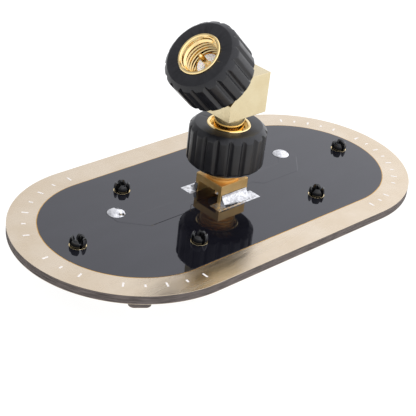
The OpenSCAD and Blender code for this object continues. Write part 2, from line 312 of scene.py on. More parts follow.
def combined(piece: Object, way: Join, *others: Object) -> Object:
    """Adds, cuts or keeps what other solids cover, and uses them up.

    Args:
        piece: The solid that is changed.
        way: How they are combined.
        others: The tools, which are removed afterwards.

    Returns:
        The changed piece.
    """
    for other in others:
        tool = piece.modifiers.new(way.name, "BOOLEAN")
        tool.operation = way.value
        tool.solver = "EXACT"
        tool.object = other
        activate(piece)
        bpy.ops.object.modifier_apply(modifier=tool.name)
        bpy.data.objects.remove(other)
    return piece


def eased(piece: Object, width: float, segments: int = 2, angle: float = 35) -> Object:
    """Rounds every edge sharper than an angle.

    Args:
        piece: The solid.
        width: Width of the rounding.
        segments: Steps across it.
        angle: The least angle between faces, in degrees.

    Returns:
        The same piece.
    """
    bevel = piece.modifiers.new("edge", "BEVEL")
    bevel.width = width
    bevel.segments = segments
    bevel.limit_method = "ANGLE"
    bevel.angle_limit = math.radians(angle)
    bevel.miter_outer = "MITER_ARC"
    activate(piece)
    bpy.ops.object.modifier_apply(modifier=bevel.name)
    return piece


def copied(piece: Object, name: str) -> Object:
    """Copies a piece with its own mesh."""
    activate(piece)
    bpy.ops.object.duplicate()
    return named(name)


def placed(piece: Object, where: Matrix) -> Object:
    """Moves and turns a piece, with its place in its mesh."""
    piece.matrix_world = where
    activate(piece)
    bpy.ops.object.transform_apply(location=True, rotation=True, scale=True)
    return piece


def arc(centre: Point, radius: float, start: float, end: float, steps: int) -> list[Point]:
    """Gives points along an arc.

    Args:
        centre: Its centre.
        radius: Its radius.
        start: Angle of the first point, in degrees.
        end: Angle of the last point, in degrees.
        steps: Number of steps.

    Returns:
        steps + 1 points.
    """
    turns = [math.radians(start + (end - start) * i / steps) for i in range(steps + 1)]
    return [(centre[0] + radius * math.cos(t), centre[1] + radius * math.sin(t)) for t in turns]


def stadium(length: float, width: float, steps: int = 90) -> list[Point]:
    """Gives the outline of a strip with round ends."""
    reach = (length - width) / 2
    return arc((reach, 0), width / 2, -90, 90, steps) + arc((-reach, 0), width / 2, 90, 270, steps)


def rounded(node: str, grow: float = 0.0) -> list[Point]:
    """Gives the stadium outline of a node's box, widened by grow on every side."""
    low, high = span(node)
    return stadium(high.x - low.x + 2 * grow, high.y - low.y + 2 * grow)


def show(
    piece: Object,
    material: bpy.types.Material,
    body: str,
    slot: str,
    *stands_for: str,
    where: Matrix = UPRIGHT,
    smooth: float = 32,
) -> Object:
    """Dresses a finished piece, sets it in place and hangs it on its body.

    Args:
        piece: The piece, in millimetres.
        material: Its finish.
        body: The CAD body that it moves with.
        slot: The record's material slot; not used.
        stands_for: The CAD nodes that it replaces.
        where: The frame that it was modelled in.
        smooth: Edges flatter than this many degrees are shaded smooth.

    Returns:
        The same piece.
    """
    placed(piece, Matrix.Scale(MM, 4) @ where)
    piece.data.materials.clear()
    piece.data.materials.append(material)
    activate(piece)
    bpy.ops.object.shade_smooth_by_angle(angle=math.radians(smooth))
    flats = piece.modifiers.new("flats", "WEIGHTED_NORMAL")
    flats.weight = 100
    flats.keep_sharp = True
    bpy.ops.object.modifier_apply(modifier=flats.name)
    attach(piece, body)
    if stands_for:
        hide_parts(*stands_for)
    LOG.info("%s: %d faces, on %s", piece.name, len(piece.data.polygons), body)
    return piece


def dress(node: str, material: bpy.types.Material) -> None:
    """Gives a CAD node that stays in view its finish."""
    slots = frame["nodes"][node].material_slots
    for slot in slots:
        slot.material = material
    if not slots:
        frame["nodes"][node].data.materials.append(material)
    LOG.info("%s keeps its shape and is dressed with %s", node, material.name)


# ---------------------------------------------------------------- finishes


class Paint:
    """A principled material, with short calls for the nodes that feed it."""

    def __init__(
        self, name: str, colour: Colour, roughness: float, metallic: float = 0.0, **inputs: float
    ) -> None:
        """Starts a material.

        Args:
            name: Its name.
            colour: Base colour, linear.
            roughness: Roughness.
            metallic: 1 for a metal.
            inputs: Other sockets by name, with underscores for spaces.
        """
        self.material = bpy.data.materials.new(name)
        self.material.use_nodes = True
        self.tree = self.material.node_tree
        self.shader = self.tree.nodes["Principled BSDF"]
        self.set("Base Color", (*colour, 1))
        self.set("Roughness", roughness)
        self.set("Metallic", metallic)
        for key, value in inputs.items():
            self.set(key.replace("_", " "), value)

    def set(self, socket: str, value: object) -> None:
        """Sets a constant or links a socket to one of the shader's inputs."""
        if isinstance(value, Socket):
            self.tree.links.new(value, self.shader.inputs[socket])
        else:
            self.shader.inputs[socket].default_value = value

    def node(self, kind: str, inputs: dict | None = None, **settings: object) -> bpy.types.Node:
        """Adds a node.

        Args:
            kind: Its type, without the ShaderNode prefix.
            inputs: Constants or sockets for its inputs.
            settings: Its own settings.

        Returns:
            The node.
        """
        node = self.tree.nodes.new("ShaderNode" + kind)
        for key, value in settings.items():
            setattr(node, key, value)
        for key, value in (inputs or {}).items():
            if isinstance(value, Socket):
                self.tree.links.new(value, node.inputs[key])
            else:
                node.inputs[key].default_value = value
        return node

    def place(self, turn: Matrix = UPRIGHT, stretch: Colour = (1, 1, 1)) -> Socket:
        """Gives object coordinates in a piece's own frame.

        Args:
            turn: The frame that the pattern follows, in millimetres.
            stretch: How far the pattern is drawn out along that frame's axes.

        Returns:
            A vector socket.
        """
        spot = self.node("TexCoord").outputs["Object"]
        settings = {
            "Vector": spot,
            "Location": turn.to_translation() * MM,
            "Rotation": turn.to_euler(),
            "Scale": stretch,
        }
        return self.node("Mapping", settings, vector_type="TEXTURE").outputs["Vector"]

    def noise(self, where: Socket, size: float, detail: float = 2, rough: float = 0.5) -> Socket:
        """Gives soft noise whose lumps are about size millimetres across."""
        settings = {"Vector": where, "Scale": 1 / (size * MM), "Detail": detail, "Roughness": rough}
        return self.node("TexNoise", settings).outputs["Fac"]

    def specks(self, where: Socket, size: float) -> Socket:
        """Gives the distance to scattered points about size millimetres apart."""
        settings = {"Vector": where, "Scale": 1 / (size * MM), "Randomness": 1.0}
        return self.node("TexVoronoi", settings).outputs["Distance"]

    def level(self, value: Socket, low: float, high: float, first: float = 0.0, last: float = 1.0) -> Socket:
        """Maps the stretch from low to high onto first to last, and holds it there."""
        settings = {"Value": value, "From Min": low, "From Max": high, "To Min": first, "To Max": last}
        return self.node("MapRange", settings, clamp=True).outputs["Result"]

    def blend(self, share: Socket, first: Colour, second: Colour) -> Socket:
        """Blends two colours by a share."""
        mix = self.tree.nodes.new("ShaderNodeMix")
        mix.data_type = "RGBA"
        factor, start, end = (mix.inputs[i] for i in (0, 6, 7))
        self.tree.links.new(share, factor)
        start.default_value, end.default_value = (*first, 1), (*second, 1)
        return mix.outputs[2]

    def product(self, first: Socket, second: Socket | float, operation: str = "MULTIPLY") -> Socket:
        """Combines two values with a Math node."""
        return self.node("Math", {0: first, 1: second}, operation=operation).outputs[0]

    def relief(self, height: Socket, depth: float, under: Socket | None = None) -> Socket:
        """Turns a height into a normal.

        Args:
            height: The pattern, from 0 to 1.
            depth: How deep it is, in millimetres.
            under: A normal that it is laid over.

        Returns:
            A normal socket.
        """
        inputs = {"Height": height, "Distance": depth * MM, "Strength": 1.0}
        if under is not None:
            inputs["Normal"] = under
        return self.node("Bump", inputs).outputs["Normal"]


@dataclass(frozen=True)
class Plating:
    """Bright metal plating over a machined part, with the tool's fine lines under it."""

    name: str
    colour: Colour
    warm: Colour
    roughness: float = 0.14
    frame: Matrix = UPRIGHT
    grain: Colour = (30, 30, 1)
    line: float = 0.05
    line_depth: float = 0.0006
    patch: float = 2.5

    def material(self) -> bpy.types.Material:
        """Builds the material: warmer patches, streaks along the grain and faint waves."""
        paint = Paint(self.name, self.colour, self.roughness, metallic=1.0)
        spot = paint.place(self.frame)
        along = paint.place(self.frame, self.grain)
        patches = paint.level(paint.noise(spot, self.patch, 3), 0.35, 0.7)
        streaks = paint.noise(along, self.line, 3, 0.6)
        paint.set("Base Color", paint.blend(patches, self.colour, self.warm))
        paint.set("Roughness", paint.level(streaks, 0.3, 0.75, self.roughness * 0.75, self.roughness * 1.5))
        waves = paint.relief(paint.noise(spot, 1.6, 1), 0.004)
        paint.set("Normal", paint.relief(streaks, self.line_depth, waves))
        return paint.material


@dataclass(frozen=True)
class BorderGold:
    """Satin immersion gold on bare board copper: a fine grain, mottled, with a few rubs."""

    name: str = "satin border gold"
    colour: Colour = (0.65, 0.54, 0.40)
    pale: Colour = (0.70, 0.60, 0.47)
    roughness: float = 0.25

    def material(self) -> bpy.types.Material:
        """Builds the material."""
        paint = Paint(self.name, self.colour, self.roughness, metallic=1.0)
        spot = paint.place()
        mottle = paint.level(paint.noise(spot, 7.0, 4, 0.6), 0.35, 0.68)
        paint.set("Base Color", paint.blend(mottle, self.colour, self.pale))
        rubs = paint.noise(paint.place(UPRIGHT, (9, 1, 1)), 1.4, 2)
        paint.set("Roughness", paint.level(rubs, 0.35, 0.7, self.roughness * 0.8, self.roughness * 1.25))
        grain = paint.relief(paint.noise(spot, 0.12, 2), 0.00015)
        paint.set("Normal", paint.relief(paint.noise(spot, 1.6, 2), 0.002, grain))
        return paint.material


@dataclass(frozen=True)
class SolderMask:
    """Glossy black mask that flowed over the copper: a soft ripple, fine dust and faint smears."""

    name: str = "black solder mask"
    colour: Colour = (0.0035, 0.0035, 0.0055)
    smear: Colour = (0.007, 0.007, 0.010)
    glint: Colour = (0.93, 0.93, 1.0)
    roughness: float = 0.03

    def material(self) -> bpy.types.Material:
        """Builds the material."""
        paint = Paint(self.name, self.colour, self.roughness, IOR=1.66)
        paint.set("Specular Tint", (*self.glint, 1))
        spot = paint.place()
        smears = paint.level(paint.noise(paint.place(UPRIGHT, (3, 1, 1)), 4.0, 4, 0.65), 0.4, 0.75)
        paint.set("Base Color", paint.blend(smears, self.colour, self.smear))
        dust = paint.level(paint.specks(spot, 0.8), 0.03, 0.07, 0.25, 0.0)
        paint.set("Roughness", paint.product(paint.level(smears, 0, 1, 0.025, 0.06), dust, "ADD"))
        ripple = paint.relief(paint.noise(spot, 3.5, 2), 0.004)
        paint.set("Normal", paint.relief(paint.noise(spot, 0.5, 1), 0.0002, ripple))
        return paint.material


@dataclass(frozen=True)
class Laminate:
    """Glass cloth laminate, whose routed edge shows its layers and torn fibres."""

    name: str = "glass laminate"
    resin: Colour = (0.040, 0.030, 0.026)
    glass: Colour = (0.115, 0.092, 0.083)
    ply: float = 0.19

    def material(self) -> bpy.types.Material:
        """Builds the material: bands through the thickness, broken up by fibre ends."""
        paint = Paint(self.name, self.resin, 0.6)
        layers = paint.noise(paint.place(UPRIGHT, (14, 14, 1)), self.ply, 2)
        fibres = paint.noise(paint.place(), 0.12, 3, 0.7)
        both = paint.product(paint.product(layers, 0.7), paint.product(fibres, 0.3), "ADD")
        paint.set("Base Color", paint.blend(paint.level(both, 0.38, 0.62), self.resin, self.glass))
        paint.set("Roughness", paint.level(fibres, 0.3, 0.7, 0.5, 0.75))
        paint.set("Normal", paint.relief(both, 0.03))
        return paint.material


@dataclass(frozen=True)
class Solder:
    """Bright tin solder: frosty grains on a smooth, slightly lumpy skin."""

    name: str = "bright solder"
    colour: Colour = (0.84, 0.84, 0.85)
    dull: Colour = (0.50, 0.50, 0.52)
    roughness: float = 0.2
    lumps: float = 0.012

    def material(self) -> bpy.types.Material:
        """Builds the material."""
        paint = Paint(self.name, self.colour, self.roughness, metallic=1.0)
        spot = paint.place()
        frost = paint.level(paint.noise(spot, 0.5, 4, 0.6), 0.42, 0.66)
        paint.set("Base Color", paint.blend(frost, self.colour, self.dull))
        paint.set("Roughness", paint.level(frost, 0, 1, self.roughness * 0.7, self.roughness * 1.9))
        grains = paint.relief(paint.specks(spot, 0.12), 0.0008)
        paint.set("Normal", paint.relief(paint.noise(spot, 0.8, 2), self.lumps, grains))
        return paint.material


@dataclass(frozen=True)
class Moulding:
    """A moulded black material, from glossy nylon to satin rubber."""

    name: str
    colour: Colour
    worn: Colour
    roughness: float
    grain: float
    grain_depth: float
    specular: float = 0.5

    def material(self) -> bpy.types.Material:
        """Builds the material: the mould's grain, soft sink marks and slightly worn patches."""
        paint = Paint(self.name, self.colour, self.roughness, Specular_IOR_Level=self.specular)
        spot = paint.place()
        wear = paint.level(paint.noise(spot, 2.2, 4, 0.65), 0.42, 0.72)
        paint.set("Base Color", paint.blend(wear, self.colour, self.worn))
        paint.set("Roughness", paint.level(wear, 0, 1, self.roughness, self.roughness * 1.3))
        grain = paint.relief(paint.noise(spot, self.grain, 3, 0.6), self.grain_depth)
        paint.set("Normal", paint.relief(paint.noise(spot, 1.8, 1), self.grain_depth * 2, grain))
        return paint.material


@dataclass(frozen=True)
class Fluoropolymer:
    """Waxy white fluoropolymer with the rings that a facing tool leaves."""

    name: str
    frame: Matrix
    colour: Colour = (0.84, 0.82, 0.81)
    shade: Colour = (0.74, 0.71, 0.70)

    def material(self) -> bpy.types.Material:
        """Builds the material."""
        paint = Paint(self.name, self.colour, 0.38, Subsurface_Weight=0.15, Subsurface_Scale=0.0005)
        spot = paint.place(self.frame)
        clouds = paint.level(paint.noise(spot, 1.2, 3), 0.4, 0.7)
        paint.set("Base Color", paint.blend(clouds, self.colour, self.shade))
        settings = {"Vector": spot, "Scale": 1 / (2.2 * MM), "Distortion": 0.4, "Detail": 1.0}
        rings = paint.node("TexWave", settings, wave_type="RINGS", rings_direction="Z").outputs["Fac"]
        paint.set("Roughness", paint.level(rings, 0, 1, 0.32, 0.45))
        paint.set("Normal", paint.relief(rings, 0.002))
        return paint.material


@dataclass(frozen=True)
class Mottled:
    """A surface whose patches differ in colour and gloss, over a fine grain."""

    name: str
    colour: Colour
    patch: Colour
    roughness: tuple[float, float]
    size: float
    spread: Point
    grain: Point
    detail: tuple[int, float] = (4, 0.6)
    metallic: float = 0.0

    def material(self) -> bpy.types.Material:
        """Builds the material."""
        paint = Paint(self.name, self.colour, self.roughness[0], self.metallic)
        spot = paint.place()
        share = paint.level(paint.noise(spot, self.size, *self.detail), *self.spread)
        paint.set("Base Color", paint.blend(share, self.colour, self.patch))
        paint.set("Roughness", paint.level(share, 0, 1, *self.roughness))
        fine, depth = self.grain
        paint.set("Normal", paint.relief(paint.noise(spot, fine, 2), depth))
        return paint.material


COPPER = Mottled(
    "bare copper", (0.80, 0.42, 0.26), (0.42, 0.20, 0.12), (0.24, 0.5), 2.0, (0.45, 0.75), (0.1, 0.002),
    detail=(5, 0.65), metallic=1.0,
)
SILICONE = Mottled(
    "silicone seal", (0.40, 0.045, 0.02), (0.50, 0.12, 0.08), (0.38, 0.6), 0.6, (0.4, 0.75), (0.15, 0.004),
)
PRINT_INK = Mottled(
    "white print", (0.58, 0.55, 0.52), (0.48, 0.43, 0.38), (0.42, 0.6), 0.25, (0.5, 0.72), (0.12, 0.003),
    detail=(4, 0.7),
)
THIN_MASK = Mottled(
    "thin amber mask", (0.66, 0.40, 0.13), (0.42, 0.24, 0.07), (0.16, 0.3), 1.5, (0.35, 0.7), (0.2, 0.003),
    metallic=1.0,
)
CONNECTOR_GOLD: Colour = (0.96, 0.76, 0.40)
CONNECTOR_WARM: Colour = (0.93, 0.69, 0.31)
BLOCK_GOLD: Colour = (0.66, 0.57, 0.37)
BLOCK_WARM: Colour = (0.63, 0.53, 0.33)
JACK_GOLD: Colour = (0.90, 0.62, 0.27)
JACK_WARM: Colour = (0.80, 0.51, 0.19)


class Finishes:
    """All the finishes, each built once."""

    def __init__(self) -> None:
        """Builds every material."""
        gold = (CONNECTOR_GOLD, CONNECTOR_WARM)
        self.lower_gold = Plating("connector gold lower", *gold, frame=LOWER_ARM).material()
        self.upper_gold = Plating("connector gold upper", *gold, frame=UPPER_ARM).material()
        self.block_gold = Plating(
            "block gold", BLOCK_GOLD, BLOCK_WARM, roughness=0.2, grain=(1, 20, 20), line=0.04
        ).material()
        self.jack_gold = Plating(
            "jack gold", JACK_GOLD, JACK_WARM, roughness=0.4, grain=(1, 1, 30), line=0.12, line_depth=0.004
        ).material()
        self.land_gold = Plating("land gold", CONNECTOR_GOLD, BLOCK_WARM, roughness=0.25).material()
        self.bronze = Plating(
            "spring bronze", (0.60, 0.36, 0.14), (0.45, 0.24, 0.09), roughness=0.25
        ).material()
        self.border = BorderGold().material()
        self.mask = SolderMask().material()
        self.laminate = Laminate().material()
        self.solder = Solder().material()
        self.nylon = Moulding(
            "black nylon", (0.003, 0.003, 0.0035), (0.006, 0.006, 0.007), 0.1, 0.25, 0.002
        ).material()
        self.rubber = Moulding(
            "black rubber", (0.006, 0.006, 0.0075), (0.010, 0.010, 0.012), 0.3, 0.10, 0.004, specular=0.42
        ).material()
        self.lower_core = Fluoropolymer("lower core", LOWER_ARM).material()
        self.upper_core = Fluoropolymer("upper core", UPPER_ARM).material()
        self.copper = COPPER.material()
        self.silicone = SILICONE.material()
        self.fillet = Solder("smooth solder", (0.60, 0.60, 0.61), (0.36, 0.36, 0.37), 0.16, 0.006).material()
        self.pads = Solder("frosted pads", (0.80, 0.80, 0.81), (0.52, 0.52, 0.53), 0.3, 0.004).material()
        self.ink = PRINT_INK.material()
        self.thin_mask = THIN_MASK.material()


# ---------------------------------------------------------------- the board


@dataclass
class GroundBoard:
    """The stadium-shaped board with its plated border, mask, strip line, pads and print."""

    finishes: Finishes
    body: str = "antenna"
    plies: int = 7
    ply_step: float = 0.03
    band_edge: float = 0.022
    relief_rise: float = 0.035
    relief_slope: float = 0.1
    rim_width: float = 0.14
    rim_rise: float = 0.012
    opening_edge: float = 0.03
    line_width: float = 4.0
    neck_width: float = 1.0
    neck_end: float = 7.6
    line_start: float = 9.1
    line_slant: float = 1.4
    ridge_root: float = 0.05
    land_radius: float = 1.52
    hole_radius: float = 1.3
    feed_radius: float = 0.5
    middle_radius: float = 1.2
    leg: float = 0.75
    tick_thick: float = 0.02
    tick_width: float = 0.36
    tick_lengths: tuple[float, float] = (1.15, 0.75)
    tick_radius: float = 18.3
    tick_sink: float = 0.004
    tick_runs: tuple[tuple[int, float, float, int], ...] = (
        (-1, 88.6, 157.4, 7), (-1, 180.4, 203, 3), (-1, 225.2, 268.8, 5), (1, 53.9, 19.8, 5),
        (1, 3.2, -56.6, 8), (1, -73.5, -89.5, 3),
    )
    pad_crown: float = 0.07
    pad_slope: float = 0.16
    pad_cuts: int = 12
    pad_bumps: float = 0.018

    def build(self) -> None:
        """Builds the laminate, copper, border, mask, pads and print."""
        self.build_laminate()
        self.build_border()
        self.build_rim()
        self.build_mask()
        self.build_pads()
        self.build_print()
        self.build_lands()
        self.build_underside()
        dress("feed_trace", self.finishes.copper)

    def build_laminate(self) -> None:
        """Raises the board ply by ply, each other ply a hair narrower, and drills it."""
        low, high = span("ground_board")
        length, width = high.x - low.x, high.y - low.y
        ply = (high.z - low.z) / self.plies
        shrink = ((length - 2 * self.ply_step) / length, (width - 2 * self.ply_step) / width, 1)
        piece = drawn("board_laminate", [Vector((x, y, low.z)) for x, y in stadium(length, width)])
        with editing(piece):
            bpy.ops.mesh.edge_face_add()
            bpy.ops.mesh.select_mode(type=Part.FACES.value)
            for number in range(self.plies):
                pull(0, 0, ply)
                if number < self.plies - 1:
                    pull(0, 0, 0)
                    factor = shrink if number % 2 == 0 else tuple(1 / s for s in shrink)
                    bpy.ops.transform.resize(value=factor)
            bpy.ops.mesh.select_all(action="SELECT")
            bpy.ops.mesh.normals_make_consistent(inside=False)
        depth = through(low, high)
        feed_holes = bores(self.feed_radius, FEEDS, *depth)
        combined(piece, Join.CUT, bores(self.hole_radius, RIVETS, *depth), feed_holes)
        show(piece, self.finishes.laminate, self.body, "board_core", "ground_board", smooth=20)

    def build_border(self) -> None:
        """Makes the bare plated band, with both of its rims eased."""
        low, high = span("border_trim")
        piece = plate("border_band", rounded("border_trim"), low.z, high.z)
        combined(piece, Join.CUT, plate("inside", rounded("solder_mask"), *through(low, high)))
        eased(piece, self.band_edge)
        show(piece, self.finishes.border, self.body, "border_gold", "border_trim", smooth=40)

    def build_rim(self) -> None:
        """Lays the amber line where the mask feathers out over the border."""
        low, high = span("border_trim")
        outline = rounded("solder_mask", self.rim_width)
        piece = plate("mask_rim", outline, high.z - 0.02, high.z + self.rim_rise)
        with editing(piece):
            pick(piece, Part.FACES, lambda f: f.normal.z > 0.9)
            bpy.ops.mesh.inset(thickness=self.rim_width / 2)
            pick(piece, Part.VERTS, lambda v: v.co.z > high.z and self.outer(v))
            bpy.ops.transform.translate(value=(0, 0, -self.rim_rise + 0.002))
        combined(piece, Join.CUT, plate("inside", rounded("solder_mask"), *through(low, high)))
        show(piece, self.finishes.thin_mask, self.body, "border_gold", smooth=40)

    def line_outline(self, grow: float) -> list[Point]:
        """Gives the strip line's outline, both halves in one, widened by grow.

        Args:
            grow: How much wider it is on every side.

        Returns:
            (x, y) corners in order.
        """
        feed = FEEDS[1]
        dome = span("feed_solder_right")
        radius = (dome[1].x - dome[0].x) / 2 + grow
        half, neck = self.line_width / 2 + grow, self.neck_width / 2 + grow
        slant = self.line_slant
        right = [
            (self.neck_end, -neck), (self.line_start, -half), (feed.x - radius - 0.4, -half),
            (feed.x + radius, self.line_width / 2), *arc((feed.x, feed.y), radius, 0, 180, 24),
            (feed.x - radius, half + slant), (feed.x - radius - slant, half), (self.line_start, half),
            (self.neck_end, neck),
        ]
        left = [(-x, y) for x, y in reversed(right)]
        return right + left

    def build_mask(self) -> None:
        """Makes the mask: a sheet with eased outer edges, a low ridge over the strip line, and openings."""
        low, high = span("solder_mask")
        film_low, film_high = span("feed_trace")
        sheet = plate("mask_sheet", rounded("solder_mask"), low.z, high.z)
        eased(sheet, self.opening_edge)
        outline = self.line_outline(self.relief_slope)
        ridge = plate("ridge", outline, high.z - self.ridge_root, high.z + self.relief_rise)
        with editing(ridge):
            pick(ridge, Part.FACES, lambda f: f.normal.z > 0.9)
            bpy.ops.mesh.inset(thickness=self.relief_slope)
            pick(ridge, Part.VERTS, lambda v: v.co.z > high.z and self.outer(v))
            bpy.ops.transform.translate(value=(0, 0, -self.relief_rise - 0.01))
        combined(sheet, Join.ADD, ridge)
        pocket = plate("pocket", self.line_outline(0), film_low.z - 0.5, film_high.z)
        dome = span("feed_solder_left")
        depth = through(low, high)
        tools = (
            pocket,
            bores(self.land_radius, RIVETS, *depth),
            bores((dome[1].x - dome[0].x) / 2, FEEDS, *depth),
            joined([self.pad_box(side, *depth) for side in (-1, 1)]),
            rod("middle", self.middle_radius, *depth),
        )
        combined(sheet, Join.CUT, *tools)
        show(sheet, self.finishes.mask, self.body, "mask_black", "solder_mask", smooth=16)

    @staticmethod
    def outer(vertex: bmesh.types.BMVert) -> bool:
        """Says whether a vertex of a raised top lies on its outer rim."""
        return any(abs(edge.other_vert(vertex).co.z - vertex.co.z) > 0.02 for edge in vertex.link_edges)

    def pad_box(self, side: int, low: float, high: float) -> Object:
        """Makes a block over one of the two pads.

        Args:
            side: -1 for the pad towards -Y, 1 for the other.
            low: Height of its foot.
            high: Height of its top.

        Returns:
            The block.
        """
        corner = span("ground_pads")[1]
        inner = span("jack_body")[1].y - self.leg
        near, far = sorted((side * inner, side * corner.y))
        return box("pad", Vector((-corner.x, near, low)), Vector((corner.x, far, high)))

    def build_pads(self) -> None:
        """Makes the two tinned pads, each with a crowned and slightly uneven skin of solder."""
        low, high = span("ground_pads")
        pads = []
        for side in (-1, 1):
            pad = self.pad_box(side, low.z, high.z)
            with editing(pad):
                pick(pad, Part.FACES, lambda f: f.normal.z > 0.9)
                pull(0, 0, self.pad_crown * 0.5)
                bpy.ops.mesh.inset(thickness=self.pad_slope)
                bpy.ops.transform.translate(value=(0, 0, self.pad_crown * 0.5))
                bpy.ops.mesh.subdivide(number_cuts=self.pad_cuts)
                bpy.ops.transform.vertex_random(offset=self.pad_bumps, uniform=0.0, normal=1.0, seed=7 + side)
                bpy.ops.mesh.vertices_smooth(factor=0.5, repeat=2, xaxis=False, yaxis=False, zaxis=True)
            pads.append(pad)
        piece = joined(pads)
        piece.name = piece.data.name = "tinned_pads"
        show(piece, self.finishes.pads, self.body, "tin_solder", "ground_pads", smooth=50)

    def build_lands(self) -> None:
        """Makes the plated rings round the rivet holes, slightly rounded by the plating."""
        low, high = span("post_lands")
        ring = [
            (self.hole_radius, low.z), (self.land_radius, low.z), (self.land_radius, high.z - 0.01),
            (self.land_radius - 0.04, high.z + 0.03), (self.hole_radius + 0.03, high.z + 0.03),
            (self.hole_radius, high.z),
        ]
        first = turned("post_rings", ring, 48)
        rings = [first] + [copied(first, "ring") for _ in RIVETS[1:]]
        for each, spot in zip(rings, RIVETS):
            placed(each, Matrix.Translation((spot.x, spot.y, 0)))
        show(joined(rings), self.finishes.land_gold, self.body, "land_gold", "post_lands")

    def build_underside(self) -> None:
        """Makes the plated ground plane under the board, open round the feeds."""
        low, high = span("ground_foil")
        piece = plate("ground_plane", rounded("ground_foil"), low.z, high.z)
        depth = through(low, high)
        feed_holes = bores(self.hole_radius, FEEDS, *depth)
        combined(piece, Join.CUT, bores(self.hole_radius, RIVETS, *depth), feed_holes)
        eased(piece, self.band_edge * 0.8)
        show(piece, self.finishes.border, self.body, "border_gold", "ground_foil", smooth=40)

    def build_print(self) -> None:
        """Prints plain rows of ticks, long and short in turn, round both ends of the border."""
        outer = span("border_trim")[1]
        top = outer.z
        reach = outer.x - outer.y
        ticks = []
        for side, start, end, count in self.tick_runs:
            for i in range(count):
                turn = math.radians(start + (end - start) * i / (count - 1))
                length = self.tick_lengths[i % 2]
                size = Vector((length, self.tick_width, self.tick_thick)) / 2
                tick = box("tick", -size, size)
                eased(tick, self.tick_thick * 0.4, 1)
                across = Vector((math.cos(turn), math.sin(turn), 0)) * self.tick_radius
                centre = Vector((side * reach, 0, top + self.tick_thick / 2 - self.tick_sink)) + across
                ticks.append(placed(tick, Matrix.Translation(centre) @ Matrix.Rotation(turn, 4, "Z")))
        piece = joined(ticks)
        piece.name = piece.data.name = "border_ticks"
        show(piece, self.finishes.ink, self.body, "border_gold")


@dataclass
class Patch:
    """One round patch under the board, with its foil, its feed and the joints at both ends."""

    finishes: Finishes
    name: str
    body: str = "antenna"
    edge: float = 0.05
    foil_edge: float = 0.018
    hole_radius: float = 1.3
    feed_radius: float = 0.5
    tab_width: float = 3.8
    tab_turn: float = 56.0
    tab_corner: float = 1.0
    foot: float = 0.03
    neck: float = 0.22

    def outline(self, centre: Vector, radius: float, reach: float) -> list[Point]:
        """Gives the disc's outline with its two tuning tabs, opposite each other.

        Args:
            centre: The patch's centre.
            radius: The disc's radius.
            reach: Distance from the centre to a tab's end.

        Returns:
            (x, y) corners in order.
        """
        half = self.tab_width / 2
        root = math.degrees(math.asin(half / radius))
        side = []
        for turn in (self.tab_turn, self.tab_turn + 180):
            frame_turn = Matrix.Rotation(math.radians(turn), 2)
            corner = half - self.tab_corner
            tab = arc((reach - self.tab_corner, -corner), self.tab_corner, -90, 0, 8)
            tab += arc((reach - self.tab_corner, corner), self.tab_corner, 0, 90, 8)
            side += [tuple(frame_turn @ Vector(p)) for p in tab]
            side += arc((0, 0), radius, turn + root, turn + 180 - root, 64)
        return [(centre.x + x, centre.y + y) for x, y in side]

    def build(self) -> None:
        """Builds the board, the foil, the feed wire and its two joints."""
        low, high = span(f"patch_board_{self.name}")
        foil_low, foil_high = span(f"patch_foil_{self.name}")
        centre = (low + high) / 2
        radius, reach = self.sizes(centre)
        shape = self.outline(centre, radius, reach)
        f = self.finishes
        parts = (
            ("patch_laminate", low.z, high.z, self.edge, f.laminate, "board_core", "patch_board"),
            ("patch_plane", foil_low.z, foil_high.z, self.foil_edge, f.border, "border_gold", "patch_foil"),
        )
        near = [spot for spot in RIVETS if (spot.x - centre.x) ** 2 < radius**2]
        feed = middle(f"feed_solder_{self.name}")
        for name, bottom, top, edge, material, slot, node in parts:
            piece = plate(f"{name}_{self.name}", shape, bottom, top)
            holes = bores(self.hole_radius, near, bottom - PAST, top + PAST)
            hole = rod("bore", self.feed_radius, bottom - PAST, top + PAST, (feed.x, feed.y))
            combined(piece, Join.CUT, joined([holes, hole]))
            eased(piece, edge)
            show(piece, material, self.body, slot, f"{node}_{self.name}", smooth=40)
        self.build_joint(f"feed_joint_{self.name}", f"feed_solder_{self.name}", 1)
        self.build_joint(f"patch_joint_{self.name}", f"patch_solder_{self.name}", -1)
        dress(f"feed_pin_{self.name}", self.finishes.copper)

    def sizes(self, centre: Vector) -> tuple[float, float]:
        """Works out the disc's radius and the tabs' reach from the CAD outline.

        Args:
            centre: The patch's centre.

        Returns:
            The radius and the reach.
        """
        points = frame["nodes"][f"patch_foil_{self.name}"].data.vertices
        far = [math.hypot(v.co.x / MM - centre.x, v.co.y / MM - centre.y) for v in points]
        across = max(v.co.x for v in points) / MM - centre.x
        return across, max(far)

    def build_joint(self, name: str, node: str, up: int) -> None:
        """Makes a solder joint that wets its land and rises to the wire's clipped end.

        Args:
            name: The piece's name.
            node: The CAD node that it replaces.
            up: 1 if the joint rises, -1 if it hangs.
        """
        low, high = span(node)
        radius, height = (high.x - low.x) / 2, high.z - low.z
        peak = height - 0.06
        outline = [
            (0, 0), (radius, 0), (radius, self.foot), (radius * 0.93, height * 0.20),
            (radius * 0.82, height * 0.42), (radius * 0.66, height * 0.63),
            (radius * 0.48, height * 0.78), (radius * 0.34, height * 0.86), (self.neck + 0.08, peak),
            (self.neck, height), (0, height),
        ]
        piece = turned(name, outline, 40)
        with editing(piece):
            pick(piece, Part.VERTS, lambda v: self.foot < v.co.z < peak)
            bpy.ops.transform.vertex_random(offset=0.02, uniform=0.0, normal=1.0, seed=3)
            bpy.ops.mesh.vertices_smooth(factor=0.5, repeat=2)
        spot = Vector(((low.x + high.x) / 2, (low.y + high.y) / 2, low.z if up > 0 else high.z))
        turn = Matrix.Rotation(0 if up > 0 else math.pi, 4, "X")
        where = Matrix.Translation(spot) @ turn
        show(piece, self.finishes.solder, self.body, "tin_solder", node, where=where, smooth=60)


